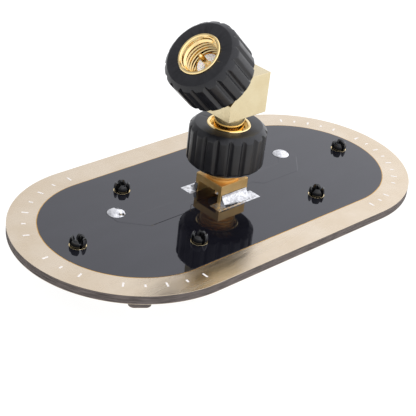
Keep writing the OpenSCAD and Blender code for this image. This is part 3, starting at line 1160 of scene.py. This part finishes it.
@dataclass
class Rivet:
    """One split rivet with the pin that spreads it and the sleeve that spaces the boards."""

    finishes: Finishes
    body: str = "antenna"
    count: int = 6
    bore: float = 0.7
    slot: float = 0.5
    slot_mouth: float = 1.05
    slot_turns: tuple[int, int] = (45, 135)
    spins: tuple[int, ...] = (29, 30, -34, 8, 44, 29)
    tail_steps: int = 48
    edge: float = 0.06
    head_edge: float = 0.25
    head_top: float = 1.0
    sink: float = 1.15
    sink_depth: float = 0.4
    shank: float = 1.25
    barb: float = 1.45
    tip: float = 1.2
    pin_short: float = 0.8
    sleeve_bore: float = 1.3
    sleeve_edge: float = 0.12

    def build(self) -> None:
        """Models one of each piece and copies it to all six places."""
        low, high = span("rivet_body_1")
        sleeve_low, sleeve_high = span("spacer_sleeve_1")
        body = self.rivet_body(low, high)
        pin = self.rivet_pin()
        sleeve = self.sleeve(sleeve_low, sleeve_high)
        for number in range(1, self.count + 1):
            spot = RIVETS[number - 1]
            spin = Matrix.Rotation(math.radians(self.spins[number - 1]), 4, "Z")
            where = Matrix.Translation((spot.x, spot.y, 0)) @ spin
            for first, name, node in (
                (body, "split_rivet", "rivet_body"),
                (pin, "drive_pin", "rivet_pin"),
                (sleeve, "sleeve", "spacer_sleeve"),
            ):
                twin = copied(first, f"{name}_{number}")
                show(twin, self.finishes.nylon, self.body, "nylon_black", f"{node}_{number}", where=where)
        for first in (body, pin, sleeve):
            bpy.data.objects.remove(first)

    def rivet_body(self, low: Vector, high: Vector) -> Object:
        """Turns the rivet, splits its tail in four and rounds the prongs.

        Args:
            low: The CAD rivet's lowest corner.
            high: Its highest corner.

        Returns:
            The rivet, standing on the origin.
        """
        head, shank, barb, tip = (high.x - low.x) / 2, self.shank, self.barb, self.tip
        outline = [
            (self.bore, self.sink_depth),
            (self.sink, self.sink_depth),
            (self.sink, 0),
            (head - self.head_edge, 0),
            *arc((head - self.head_edge, self.head_edge), self.head_edge, -70, 0, 4),
            (head, self.head_top),
            (shank, self.head_top),
            (shank, BOARD_TOP),
            (shank + 0.02, BOARD_TOP + 0.12),
            (barb - 0.03, BOARD_TOP + 0.38),
            (barb, BOARD_TOP + 0.52),
            (barb - 0.01, BOARD_TOP + 0.78),
            (barb - 0.08, BOARD_TOP + 1.1),
            (tip + 0.08, BOARD_TOP + 1.36),
            (tip - 0.1, high.z),
            (self.bore + 0.14, high.z - 0.1),
            (self.bore, BOARD_TOP + 0.75),
        ]
        piece = turned("rivet", outline, self.tail_steps)
        tools = []
        for turn in self.slot_turns:
            half, wide = self.slot / 2, self.slot_mouth / 2
            tool = box("slot", Vector((-3, -half, BOARD_TOP - 1.2)), Vector((3, half, high.z + 0.1)))
            with editing(tool):
                bpy.ops.mesh.bisect(plane_co=(0, 0, BOARD_TOP + 0.6), plane_no=(0, 0, 1))
                for side in (-1, 1):
                    pick(tool, Part.VERTS, lambda v, s=side: v.co.z > BOARD_TOP + 1 and v.co.y * s > 0)
                    bpy.ops.transform.translate(value=(0, side * (wide - half), 0))
                pick(tool, Part.VERTS, lambda v: True)
                spin = -math.radians(turn)
                bpy.ops.transform.rotate(value=spin, orient_axis="Z", center_override=(0, 0, 0))
            tools.append(tool)
        combined(piece, Join.CUT, *tools)
        return eased(piece, self.edge, 2, 40)

    def rivet_pin(self) -> Object:
        """Turns the drive pin, with a domed tip and a crowned head."""
        low, high = span("rivet_pin_1")
        head, stem = (high.x - low.x) / 2, self.bore - 0.02
        top = high.z - self.pin_short
        outline = [
            (0, 0.02), (head * 0.7, 0), (head - 0.06, 0.03), (head, 0.10), (head, 0.36),
            (head - 0.05, 0.40), (stem, 0.40), (stem, top - 0.3), (stem - 0.08, top - 0.1),
            (stem - 0.25, top - 0.02), (0, top),
        ]
        return turned("pin", outline, 36)

    def sleeve(self, low: Vector, high: Vector) -> Object:
        """Turns the spacer sleeve, with eased ends and a faint parting ring."""
        outer, inner, edge = (high.x - low.x) / 2, self.sleeve_bore, self.sleeve_edge
        half = (low.z + high.z) / 2
        outline = [
            (inner + edge / 2, low.z), (outer - edge, low.z), (outer, low.z + edge),
            (outer, half - 0.06), (outer - 0.03, half), (outer, half + 0.06), (outer, high.z - edge),
            (outer - edge, high.z), (inner + edge / 2, high.z), (inner, high.z - edge / 2),
            (inner, low.z + edge / 2),
        ]
        return turned("spacer", outline, 48)


# ---------------------------------------------------------------- jack and nuts


@dataclass(frozen=True)
class Thread:
    """The coupling's right-hand 60 degree thread, 36 turns to the inch."""

    pitch: float = 25.4 / 36
    flank: float = math.tan(math.radians(30))
    steps: int = 72

    def groove(self, floor: float, floor_half: float, mouth: float, start: float, turns: int) -> Object:
        """Makes the helical tool that cuts one thread groove.

        Args:
            floor: Radius of the groove's floor.
            floor_half: Half of the floor's width.
            mouth: A radius just past the surface that it cuts.
            start: Height of the groove's middle at its start.
            turns: Number of whole turns.

        Returns:
            The closed tool.
        """
        half = floor_half + abs(mouth - floor) * self.flank
        corners = [(floor, -floor_half), (floor, floor_half), (mouth, half), (mouth, -half)]
        tool = drawn("thread groove", [Vector((r, 0, start + z)) for r, z in corners])
        screw = tool.modifiers.new("helix", "SCREW")
        screw.axis = "Z"
        screw.angle = math.tau
        screw.screw_offset = self.pitch
        screw.iterations = turns
        screw.steps = screw.render_steps = self.steps
        screw.use_smooth_shade = False
        activate(tool)
        bpy.ops.object.modifier_apply(modifier=screw.name)
        with editing(tool):
            bpy.ops.mesh.fill_holes(sides=4)
            bpy.ops.mesh.select_all(action="SELECT")
            bpy.ops.mesh.normals_make_consistent(inside=False)
        return tool


THREAD = Thread()


@dataclass
class Jack:
    """The square-flanged jack on two legs, its threaded barrel and its solder."""

    finishes: Finishes
    body: str = "antenna"
    leg: float = 0.75
    flange_thick: float = 1.45
    flange_top: float = 3.55
    edge: float = 0.07
    crest: float = 3.17
    root: float = 2.74
    root_half: float = 0.03
    undercut: float = 2.8
    undercut_height: float = 0.4
    mouth: float = 2.33
    mouth_depth: float = 1.9
    bore: float = 2.05
    first_groove: float = 0.1
    fillet_steps: int = 12
    fillet_cuts: int = 18
    wrap: float = 0.5
    wrap_rise: float = 1.6

    def build(self) -> None:
        """Builds the body and its two solder fillets, and dresses what stays of the CAD."""
        self.build_body()
        self.build_fillet("solder_front", "jack_solder_front", -1, 5)
        self.build_fillet("solder_rear", "jack_solder_rear", 1, 11)
        dress("jack_insulator", self.finishes.lower_core)
        dress("jack_contact", self.finishes.lower_gold)
        dress("centre_solder", self.finishes.solder)

    def build_body(self) -> None:
        """Shapes the flange and legs from a block, adds the turned barrel, cuts the thread and bores it."""
        low, high = span("jack_body")
        leg_top = BOARD_TOP + self.flange_top - self.flange_thick
        flange = BOARD_TOP + self.flange_top
        piece = box("jack_shell", low, Vector((high.x, high.y, flange)))
        gap = box(
            "gap",
            Vector((low.x - PAST, low.y + self.leg, low.z - PAST)),
            Vector((high.x + PAST, high.y - self.leg, leg_top)),
        )
        combined(piece, Join.CUT, gap)
        eased(piece, self.edge, 2)
        tip = high.z
        barrel = turned(
            "barrel",
            [
                (0, leg_top + 0.1), (self.undercut, leg_top + 0.1),
                (self.undercut, flange + self.undercut_height - 0.1),
                (self.crest - 0.25, flange + self.undercut_height),
                (self.crest, flange + self.undercut_height + 0.25), (self.crest, tip - 0.35),
                (self.crest - 0.35, tip), (0, tip),
            ],
            THREAD.steps,
        )
        start = self.groove_height()
        turns = math.ceil((tip - start) / THREAD.pitch) + 1
        groove = THREAD.groove(self.root, self.root_half, self.crest + 0.08, start, turns)
        combined(barrel, Join.CUT, groove)
        combined(piece, Join.ADD, barrel)
        combined(
            piece,
            Join.CUT,
            rod("bore", self.bore, leg_top - PAST, tip + PAST, steps=THREAD.steps),
            rod("mouth", self.mouth, tip - self.mouth_depth, tip + PAST, steps=THREAD.steps),
        )
        show(piece, self.finishes.jack_gold, self.body, "jack_gold", "jack_body", smooth=28)

    def groove_height(self) -> float:
        """Gives the height of the jack's thread groove in the direction of +X."""
        return BOARD_TOP + self.flange_top + self.undercut_height - 0.5 * THREAD.pitch + self.first_groove

    def build_fillet(self, name: str, node: str, side: int, seed: int) -> None:
        """Makes a hollow-faced solder fillet with rounded, uneven ends.

        Args:
            name: The piece's name.
            node: The CAD node that it replaces.
            side: -1 for the leg towards -Y, 1 for the other.
            seed: Seed of its unevenness.
        """
        low, high = span(node)
        base = low.z
        face = side * span("jack_body")[1].y
        top = BOARD_TOP + self.flange_top - self.flange_thick
        reach, rise = max(abs(low.y), abs(high.y)) - abs(face), top - base - 0.03
        hollow = [
            (1 - math.sin(t), 1 - math.cos(t))
            for t in (math.radians(90 * i / self.fillet_steps) for i in range(self.fillet_steps + 1))
        ]
        section = [(0.0, 0.0)] + [(0.04 + 0.96 * y, 0.04 + 0.96 * z) for y, z in reversed(hollow)]
        start, end = (corner.x for corner in span("jack_solder_front"))
        points = [Vector((start, face + side * reach * y, base + rise * z)) for y, z in section]
        piece = drawn(name, points)
        with editing(piece):
            bpy.ops.mesh.edge_face_add()
            for _ in range(self.fillet_cuts):
                pull((end - start) / self.fillet_cuts, 0, 0)
            tidy_shell()
            pick(piece, Part.VERTS, lambda v: v.co.z > base + 0.02 and abs(v.co.y - face) > 0.02)
            bpy.ops.transform.vertex_random(offset=0.03, uniform=0.0, normal=1.0, seed=seed)
            bpy.ops.mesh.vertices_smooth(factor=0.5, repeat=3)
        if side > 0:
            self.wrap_end(piece, span("jack_body")[0].x, face, base)
        show(piece, self.finishes.fillet, self.body, "tin_solder", node, smooth=50)

    def wrap_end(self, fillet: Object, end: float, face: float, base: float) -> None:
        """Lets the solder creep round the end of its leg.

        Args:
            fillet: The fillet that it grows from.
            end: The leg's end, along X.
            face: The leg's outer face, along Y.
            base: Height of the pad.
        """
        reach, rise, inner = self.wrap, self.wrap_rise, face - self.leg + 0.1
        section = [
            (0.0, 0.0), (-reach, 0.0), (-reach * 0.55, rise * 0.3), (-reach * 0.35, rise * 0.7),
            (-0.08, rise), (0.0, rise),
        ]
        wedge = drawn("wedge", [Vector((end + x, inner, base + z)) for x, z in section])
        with editing(wedge):
            bpy.ops.mesh.edge_face_add()
            pull(0, face - inner, 0)
            tidy_shell()
        profile = [(0, 0)] + [(-x, z) for x, z in section[1:-1]] + [(0, rise)]
        corner = turned("corner", profile, 32)
        placed(corner, Matrix.Translation((end, face, base)))
        leg = box("leg", Vector((end, face - 3, base - 1)), Vector((end + 3, face, base + 4)))
        combined(fillet, Join.ADD, wedge, corner)
        combined(fillet, Join.CUT, leg)


@dataclass
class CouplingNut:
    """A coupling nut with its internal thread, and the fluted rubber grip on it.

    Both are modelled with the front face at height 0 and the rest below it.
    """

    finishes: Finishes
    jack: Jack
    outer: float = 3.85
    length: float = 8.1
    mouth: float = 3.35
    entry: float = 3.22
    entry_depth: float = 0.95
    crest: float = 2.90
    root: float = 3.24
    root_half: float = 0.064
    thread_end: float = 5.0
    relief: float = 3.25
    relief_end: float = 5.75
    bore: float = 2.95
    recess: float = 3.3
    ring_groove: tuple[float, float] = (6.15, 6.85)
    rear_lip: float = 7.3
    rim: float = 0.12
    flutes: int = 18
    grip: float = 6.85
    grip_flat: float = 5.95
    shoulder: float = 0.85
    grip_front: float = 0.3
    grip_rear: float = 0.1
    flute_depth: float = 0.46
    flute_half: float = 0.66
    flute_points: int = 12
    lobe_points: int = 4
    grip_edge: float = 0.07
    grip_turns: tuple[float, float] = (10.0, 7.5)

    def build(self) -> None:
        """Models one nut and one grip, and copies them to both arms."""
        lower = LOWER_ARM @ Matrix.Translation((0, 0, LOWER_REACH))
        upper = UPPER_ARM @ Matrix.Translation((0, 0, UPPER_REACH))
        nut, grip = self.nut(), self.rubber_grip()
        twin, spare = copied(nut, "upper_coupling_nut"), copied(grip, "upper_rubber_grip")
        nut.name = nut.data.name = "lower_coupling_nut"
        grip.name = grip.data.name = "lower_rubber_grip"
        turn, other = (Matrix.Rotation(math.radians(angle), 4, "Z") for angle in self.grip_turns)
        gold, rubber = "connector_gold", "grip_rubber"
        f = self.finishes
        show(nut, f.lower_gold, "lower_coupling", gold, "lower_nut", where=lower, smooth=30)
        show(twin, f.upper_gold, "upper_coupling", gold, "upper_nut", where=upper, smooth=30)
        show(grip, f.rubber, "lower_coupling", rubber, "lower_grip", where=lower @ turn, smooth=38)
        show(spare, f.rubber, "upper_coupling", rubber, "upper_grip", where=upper @ other, smooth=38)

    def nut(self) -> Object:
        """Turns the nut and cuts the thread that meshes with the jack's."""
        first, last = self.ring_groove
        step = self.entry - self.crest
        outline = [
            (self.mouth, -self.rim * 1.5), (self.mouth + self.rim, 0), (self.outer - self.rim, 0),
            (self.outer, -self.rim), (self.outer, -self.length + self.rim),
            (self.outer - self.rim, -self.length), (self.recess + 0.08, -self.length),
            (self.recess, -self.length + 0.08), (self.recess, -self.rear_lip),
            (self.bore, -self.rear_lip), (self.bore, -last), (self.recess, -last),
            (self.recess, -first), (self.bore, -first), (self.bore, -self.relief_end),
            (self.relief, -self.relief_end), (self.relief, -self.thread_end - 0.3),
            (self.crest, -self.thread_end), (self.crest, -self.entry_depth - step),
            (self.entry, -self.entry_depth), (self.entry, -0.35), (self.mouth, -0.25),
        ]
        piece = turned("nut", outline, THREAD.steps)
        start = CROSSING.z - LOWER_REACH - self.jack.groove_height() - THREAD.pitch / 2
        start -= THREAD.pitch * math.ceil((start + self.thread_end + 0.2) / THREAD.pitch)
        turns = math.floor((-self.entry_depth + 0.1 - start) / THREAD.pitch)
        groove = THREAD.groove(self.root, self.root_half, self.crest - 0.06, start, turns)
        return combined(piece, Join.CUT, groove)

    def flute_outline(self) -> list[Point]:
        """Gives the grip's outline: broad round lobes with a soft groove between each two."""
        points = []
        step = math.tau / self.flutes
        half = self.flute_half / self.grip
        for number in range(self.flutes):
            middle_turn = number * step
            for i in range(self.flute_points + 1):
                share = -1 + 2 * i / self.flute_points
                dip = self.flute_depth * (0.5 + 0.5 * math.cos(math.pi * share)) ** 0.8
                turn = middle_turn + share * half
                radius = self.grip - dip
                points.append((radius * math.cos(turn), radius * math.sin(turn)))
            for i in range(1, self.lobe_points + 1):
                turn = middle_turn + half + (step - 2 * half) * i / (self.lobe_points + 1)
                points.append((self.grip * math.cos(turn), self.grip * math.sin(turn)))
        return points

    def rubber_grip(self) -> Object:
        """Raises the fluted outline, rounds both ends on the lathe and bores it for the nut."""
        top, bottom = -self.grip_front, -self.length + self.grip_rear
        piece = plate("grip", self.flute_outline(), bottom - 0.5, top + 0.5)
        flat, full = self.grip_flat, self.grip
        corner = [
            (flat - 0.1, 0), (flat - 0.02, 0.02), (flat + 0.05, 0.07),
            (full - 0.16, self.shoulder - 0.15), (full - 0.05, self.shoulder + 0.02),
            (full - 0.002, self.shoulder + 0.24),
        ]
        outline = [(r, top - d) for r, d in corner] + [(r, bottom + d) for r, d in reversed(corner)]
        outline += [(self.outer + 0.02, bottom), (self.outer + 0.02, top)]
        combined(piece, Join.KEEP, turned("blank", outline, 144))
        return eased(piece, self.grip_edge, 2, 40)


@dataclass
class Adapter:
    """The block with its two barrels, cores, pins, seals and rings."""

    finishes: Finishes
    body: str = "adapter"
    slope: float = 2.2
    edge: float = 0.06
    steps: int = 72
    spigot: float = 1.2
    neck: float = 2.65
    core: float = 2.05
    tube: float = 2.27
    shoulder: float = 2.85
    shoulder_cuts: tuple[float, float, float, float] = (7.2, 6.8, 6.2, 5.7)
    barrel_edge: float = 0.08
    ring_groove: float = 2.4
    pin_tip: float = 0.457
    pin_body: float = 0.635
    pin_length: float = 3.0
    plug_ref: float = 3.45
    plug_radius: float = 1.9
    plug_thick: float = 1.0
    play: float = 0.02
    core_start: float = 0.9

    def build(self) -> None:
        """Builds the block, the access plug and both arms."""
        low, high = (corner - CROSSING for corner in span("adapter_block"))
        self.build_block(low, high)
        self.build_plug(high.x)
        f = self.finishes
        self.build_arm("lower", LOWER_ARM, LOWER_REACH, -low.z, f.lower_gold)
        self.build_arm("upper", UPPER_ARM, UPPER_REACH, self.slope, f.upper_gold)
        self.build_core(UPPER_REACH)
        self.build_pin(UPPER_REACH)
        dress("lower_insulator", f.lower_core)
        dress("lower_pin", f.lower_gold)
        for side in ("lower", "upper"):
            dress(f"{side}_gasket", f.silicone)
            dress(f"{side}_snap_ring", f.bronze)

    def build_block(self, low: Vector, high: Vector) -> None:
        """Shapes the block from a cube, cuts its slope, eases its edges and bores it.

        Args:
            low: The block's lowest corner, from the crossing.
            high: Its highest corner.
        """
        piece = box("adapter_block_body", low, high)
        drop, back = -low.z, high.x
        normal = Vector((-math.sin(ARM_TILT), 0, math.cos(ARM_TILT)))
        with editing(piece):
            face = normal * self.slope
            bpy.ops.mesh.bisect(plane_co=face, plane_no=normal, use_fill=True, clear_outer=True)
            tidy_shell()
        eased(piece, self.edge, 3)
        inner = Matrix.Translation(-CROSSING)
        for arm, start, end, radius in (
            (LOWER_ARM, drop - self.spigot, drop + 1, self.neck),
            (LOWER_ARM, -1.3, drop, self.core + 0.1),
            (UPPER_ARM, self.slope - self.spigot, self.slope + 2, self.neck),
            (UPPER_ARM, -0.5, self.slope, self.core),
        ):
            tool = rod("bore", radius, start, end, steps=self.steps)
            combined(piece, Join.CUT, placed(tool, inner @ arm))
        pocket = rod("bore", self.plug_radius, back - self.plug_thick, back + 1, steps=self.steps)
        combined(piece, Join.CUT, placed(pocket, ACROSS))
        where, gold = Matrix.Translation(CROSSING), self.finishes.block_gold
        show(piece, gold, self.body, "block_gold", "adapter_block", where=where, smooth=24)

    def build_plug(self, back: float) -> None:
        """Turns the disc that closes the access hole, with a chamfer and a centre dimple.

        Args:
            back: Distance from the crossing to the block's back face.
        """
        radius, thick = self.plug_radius - self.play, self.plug_thick
        outline = [
            (0, -thick), (radius, -thick), (radius, -0.12), (radius - 0.10, -0.02), (radius - 0.16, 0),
            (0.35, 0), (0.2, -0.08), (0, -0.12),
        ]
        piece = turned("access_disc", outline, 72)
        where, gold = Matrix.Translation(CROSSING + Vector((back, 0, 0))) @ ACROSS, self.finishes.block_gold
        show(piece, gold, self.body, "connector_gold", "access_plug", where=where, smooth=30)

    def build_arm(self, side: str, arm: Matrix, reach: float, seat: float, gold: bpy.types.Material) -> None:
        """Turns an arm's barrel: spigot, neck, grooved shoulder and thin tube.

        Args:
            side: lower or upper.
            arm: The arm's frame.
            reach: Distance from the crossing to the nut's front.
            seat: Distance from the crossing to the block's face.
            gold: Its finish.
        """
        edge = self.barrel_edge
        rear, last, first, front = self.shoulder_cuts
        outline = [
            (self.core, seat - self.spigot), (self.neck, seat - self.spigot), (self.neck, reach - rear),
            (self.shoulder - edge, reach - rear), (self.shoulder, reach - rear + edge),
            (self.shoulder, reach - last), (self.ring_groove, reach - last),
            (self.ring_groove, reach - first), (self.shoulder, reach - first),
            (self.shoulder, reach - front - edge), (self.shoulder - edge, reach - front),
            (self.tube, reach - front), (self.tube, reach - self.plug_ref - edge),
            (self.tube - edge, reach - self.plug_ref), (self.core, reach - self.plug_ref),
        ]
        piece = turned(f"{side}_plug_barrel", outline, 96)
        show(piece, gold, self.body, "connector_gold", f"{side}_barrel", where=arm, smooth=30)

    def build_core(self, reach: float) -> None:
        """Turns the upper core, with an eased face and a pip round the pin."""
        face, radius, bore = reach - self.plug_ref, self.core - self.play, self.pin_body + self.play
        outline = [
            (bore, self.core_start), (radius, self.core_start), (radius, face - 0.08),
            (radius - 0.08, face), (bore + 0.12, face), (bore, face - 0.06),
        ]
        piece = turned("upper_core", outline, 72)
        slot = "white_core"
        show(piece, self.finishes.upper_core, self.body, slot, "upper_insulator", where=UPPER_ARM, smooth=30)

    def build_pin(self, reach: float) -> None:
        """Turns the upper centre contact, with a rounded tip."""
        face = reach - self.plug_ref
        tip = face + self.pin_length
        outline = [
            (0, self.core_start), (self.pin_body, self.core_start), (self.pin_body, face - 0.02),
            (self.pin_body - 0.05, face + 0.02), (self.pin_tip, face + 0.02),
            (self.pin_tip, tip - 0.55), (self.pin_tip - 0.05, tip - 0.4),
            (self.pin_tip - 0.25, tip - 0.08), (self.pin_tip - 0.33, tip), (0, tip),
        ]
        piece = turned("upper_contact", outline, 48)
        show(piece, self.finishes.upper_gold, self.body, "connector_gold", "upper_pin", where=UPPER_ARM)


# ---------------------------------------------------------------- studio


@dataclass
class Studio:
    """A pale floor, soft light and the camera."""

    target: Point = (-5.80, -2.95)
    distance: float = 208.0
    azimuth: float = -46.4
    elevation: float = 29.8
    roll: float = 6.8
    lens: float = 103.2
    floor_size: float = 4.0
    floor_glow: float = 0.93
    sky: float = 1.15
    sky_lean: float = 0.75
    sky_colour: Colour = (0.97, 0.98, 1.03)
    lamps: tuple[tuple[str, Colour, float, float], ...] = (
        ("key", (-0.12, 0.0, 0.6), 0.35, 2.2),
        ("fill", (0.3, -0.3, 0.5), 0.3, 0.8),
    )
    aim: Colour = (0, 0, 0.02)

    def build(self) -> None:
        """Builds everything that isn't the object."""
        self.build_floor()
        self.build_sky()
        self.build_lights()
        self.build_camera()

    def build_floor(self) -> None:
        """Lays the plain pale floor."""
        bpy.ops.object.select_all(action="DESELECT")
        bpy.ops.mesh.primitive_plane_add(size=self.floor_size)
        floor = named("floor")
        paint = Paint("pale floor", (0.12, 0.12, 0.12), 0.6, Emission_Strength=self.floor_glow)
        paint.set("Emission Color", (1, 1, 1, 1))
        floor.data.materials.append(paint.material)

    def build_sky(self) -> None:
        """Fills the room with soft white light, a little brighter on the right."""
        world = bpy.data.worlds.new("white room")
        world.use_nodes = True
        nodes, links = world.node_tree.nodes, world.node_tree.links
        background = nodes["Background"]
        background.inputs["Color"].default_value = (*self.sky_colour, 1)
        gaze = nodes.new("ShaderNodeTexCoord")
        lean = nodes.new("ShaderNodeVectorMath")
        lean.operation = "DOT_PRODUCT"
        turn = math.radians(self.azimuth)
        lean.inputs[1].default_value = (math.cos(turn), math.sin(turn), 0)
        glow = nodes.new("ShaderNodeMath")
        glow.operation = "MULTIPLY_ADD"
        glow.inputs[1].default_value = self.sky_lean
        glow.inputs[2].default_value = self.sky
        links.new(gaze.outputs["Generated"], lean.inputs[0])
        links.new(lean.outputs["Value"], glow.inputs[0])
        links.new(glow.outputs["Value"], background.inputs["Strength"])
        bpy.context.scene.world = world

    def build_lights(self) -> None:
        """Hangs a large key light and a smaller one from the other side."""
        for name, place, size, power in self.lamps:
            bpy.ops.object.light_add(type="AREA", location=place)
            lamp = bpy.context.object
            lamp.name = name
            lamp.data.size = size
            lamp.data.energy = power
            lamp.visible_glossy = False
            gaze = Vector(self.aim) - Vector(place)
            lamp.rotation_euler = gaze.to_track_quat("-Z", "Y").to_euler()

    def build_camera(self) -> None:
        """Sets the camera on its line of sight, with a slight roll."""
        turn, tip, roll = (math.radians(a) for a in (self.azimuth, self.elevation, self.roll))
        right = Vector((math.cos(turn), math.sin(turn), 0))
        back = Vector((math.sin(turn) * math.cos(tip), -math.cos(turn) * math.cos(tip), math.sin(tip)))
        up = back.cross(right)
        side = math.cos(roll) * right + math.sin(roll) * up
        top = -math.sin(roll) * right + math.cos(roll) * up
        target = Vector((*self.target, BOARD_TOP))
        bpy.ops.object.camera_add()
        camera = bpy.context.object
        camera.data.lens = self.lens
        camera.data.clip_start = 0.01
        turned_frame = Matrix((side, top, back)).transposed().to_4x4()
        camera.matrix_world = Matrix.Translation((target + back * self.distance) * MM) @ turned_frame
        bpy.context.scene.camera = camera
        bpy.context.scene.view_settings.view_transform = "Standard"


def main() -> None:
    """Builds the pieces in order, then the studio."""
    logging.basicConfig(level=logging.INFO, format="%(message)s")
    finishes = Finishes()
    jack = Jack(finishes)
    GroundBoard(finishes).build()
    for name in ("left", "right"):
        Patch(finishes, name).build()
    Rivet(finishes).build()
    jack.build()
    CouplingNut(finishes, jack).build()
    Adapter(finishes).build()
    Studio().build()


if __name__ == "__main__":
    main()
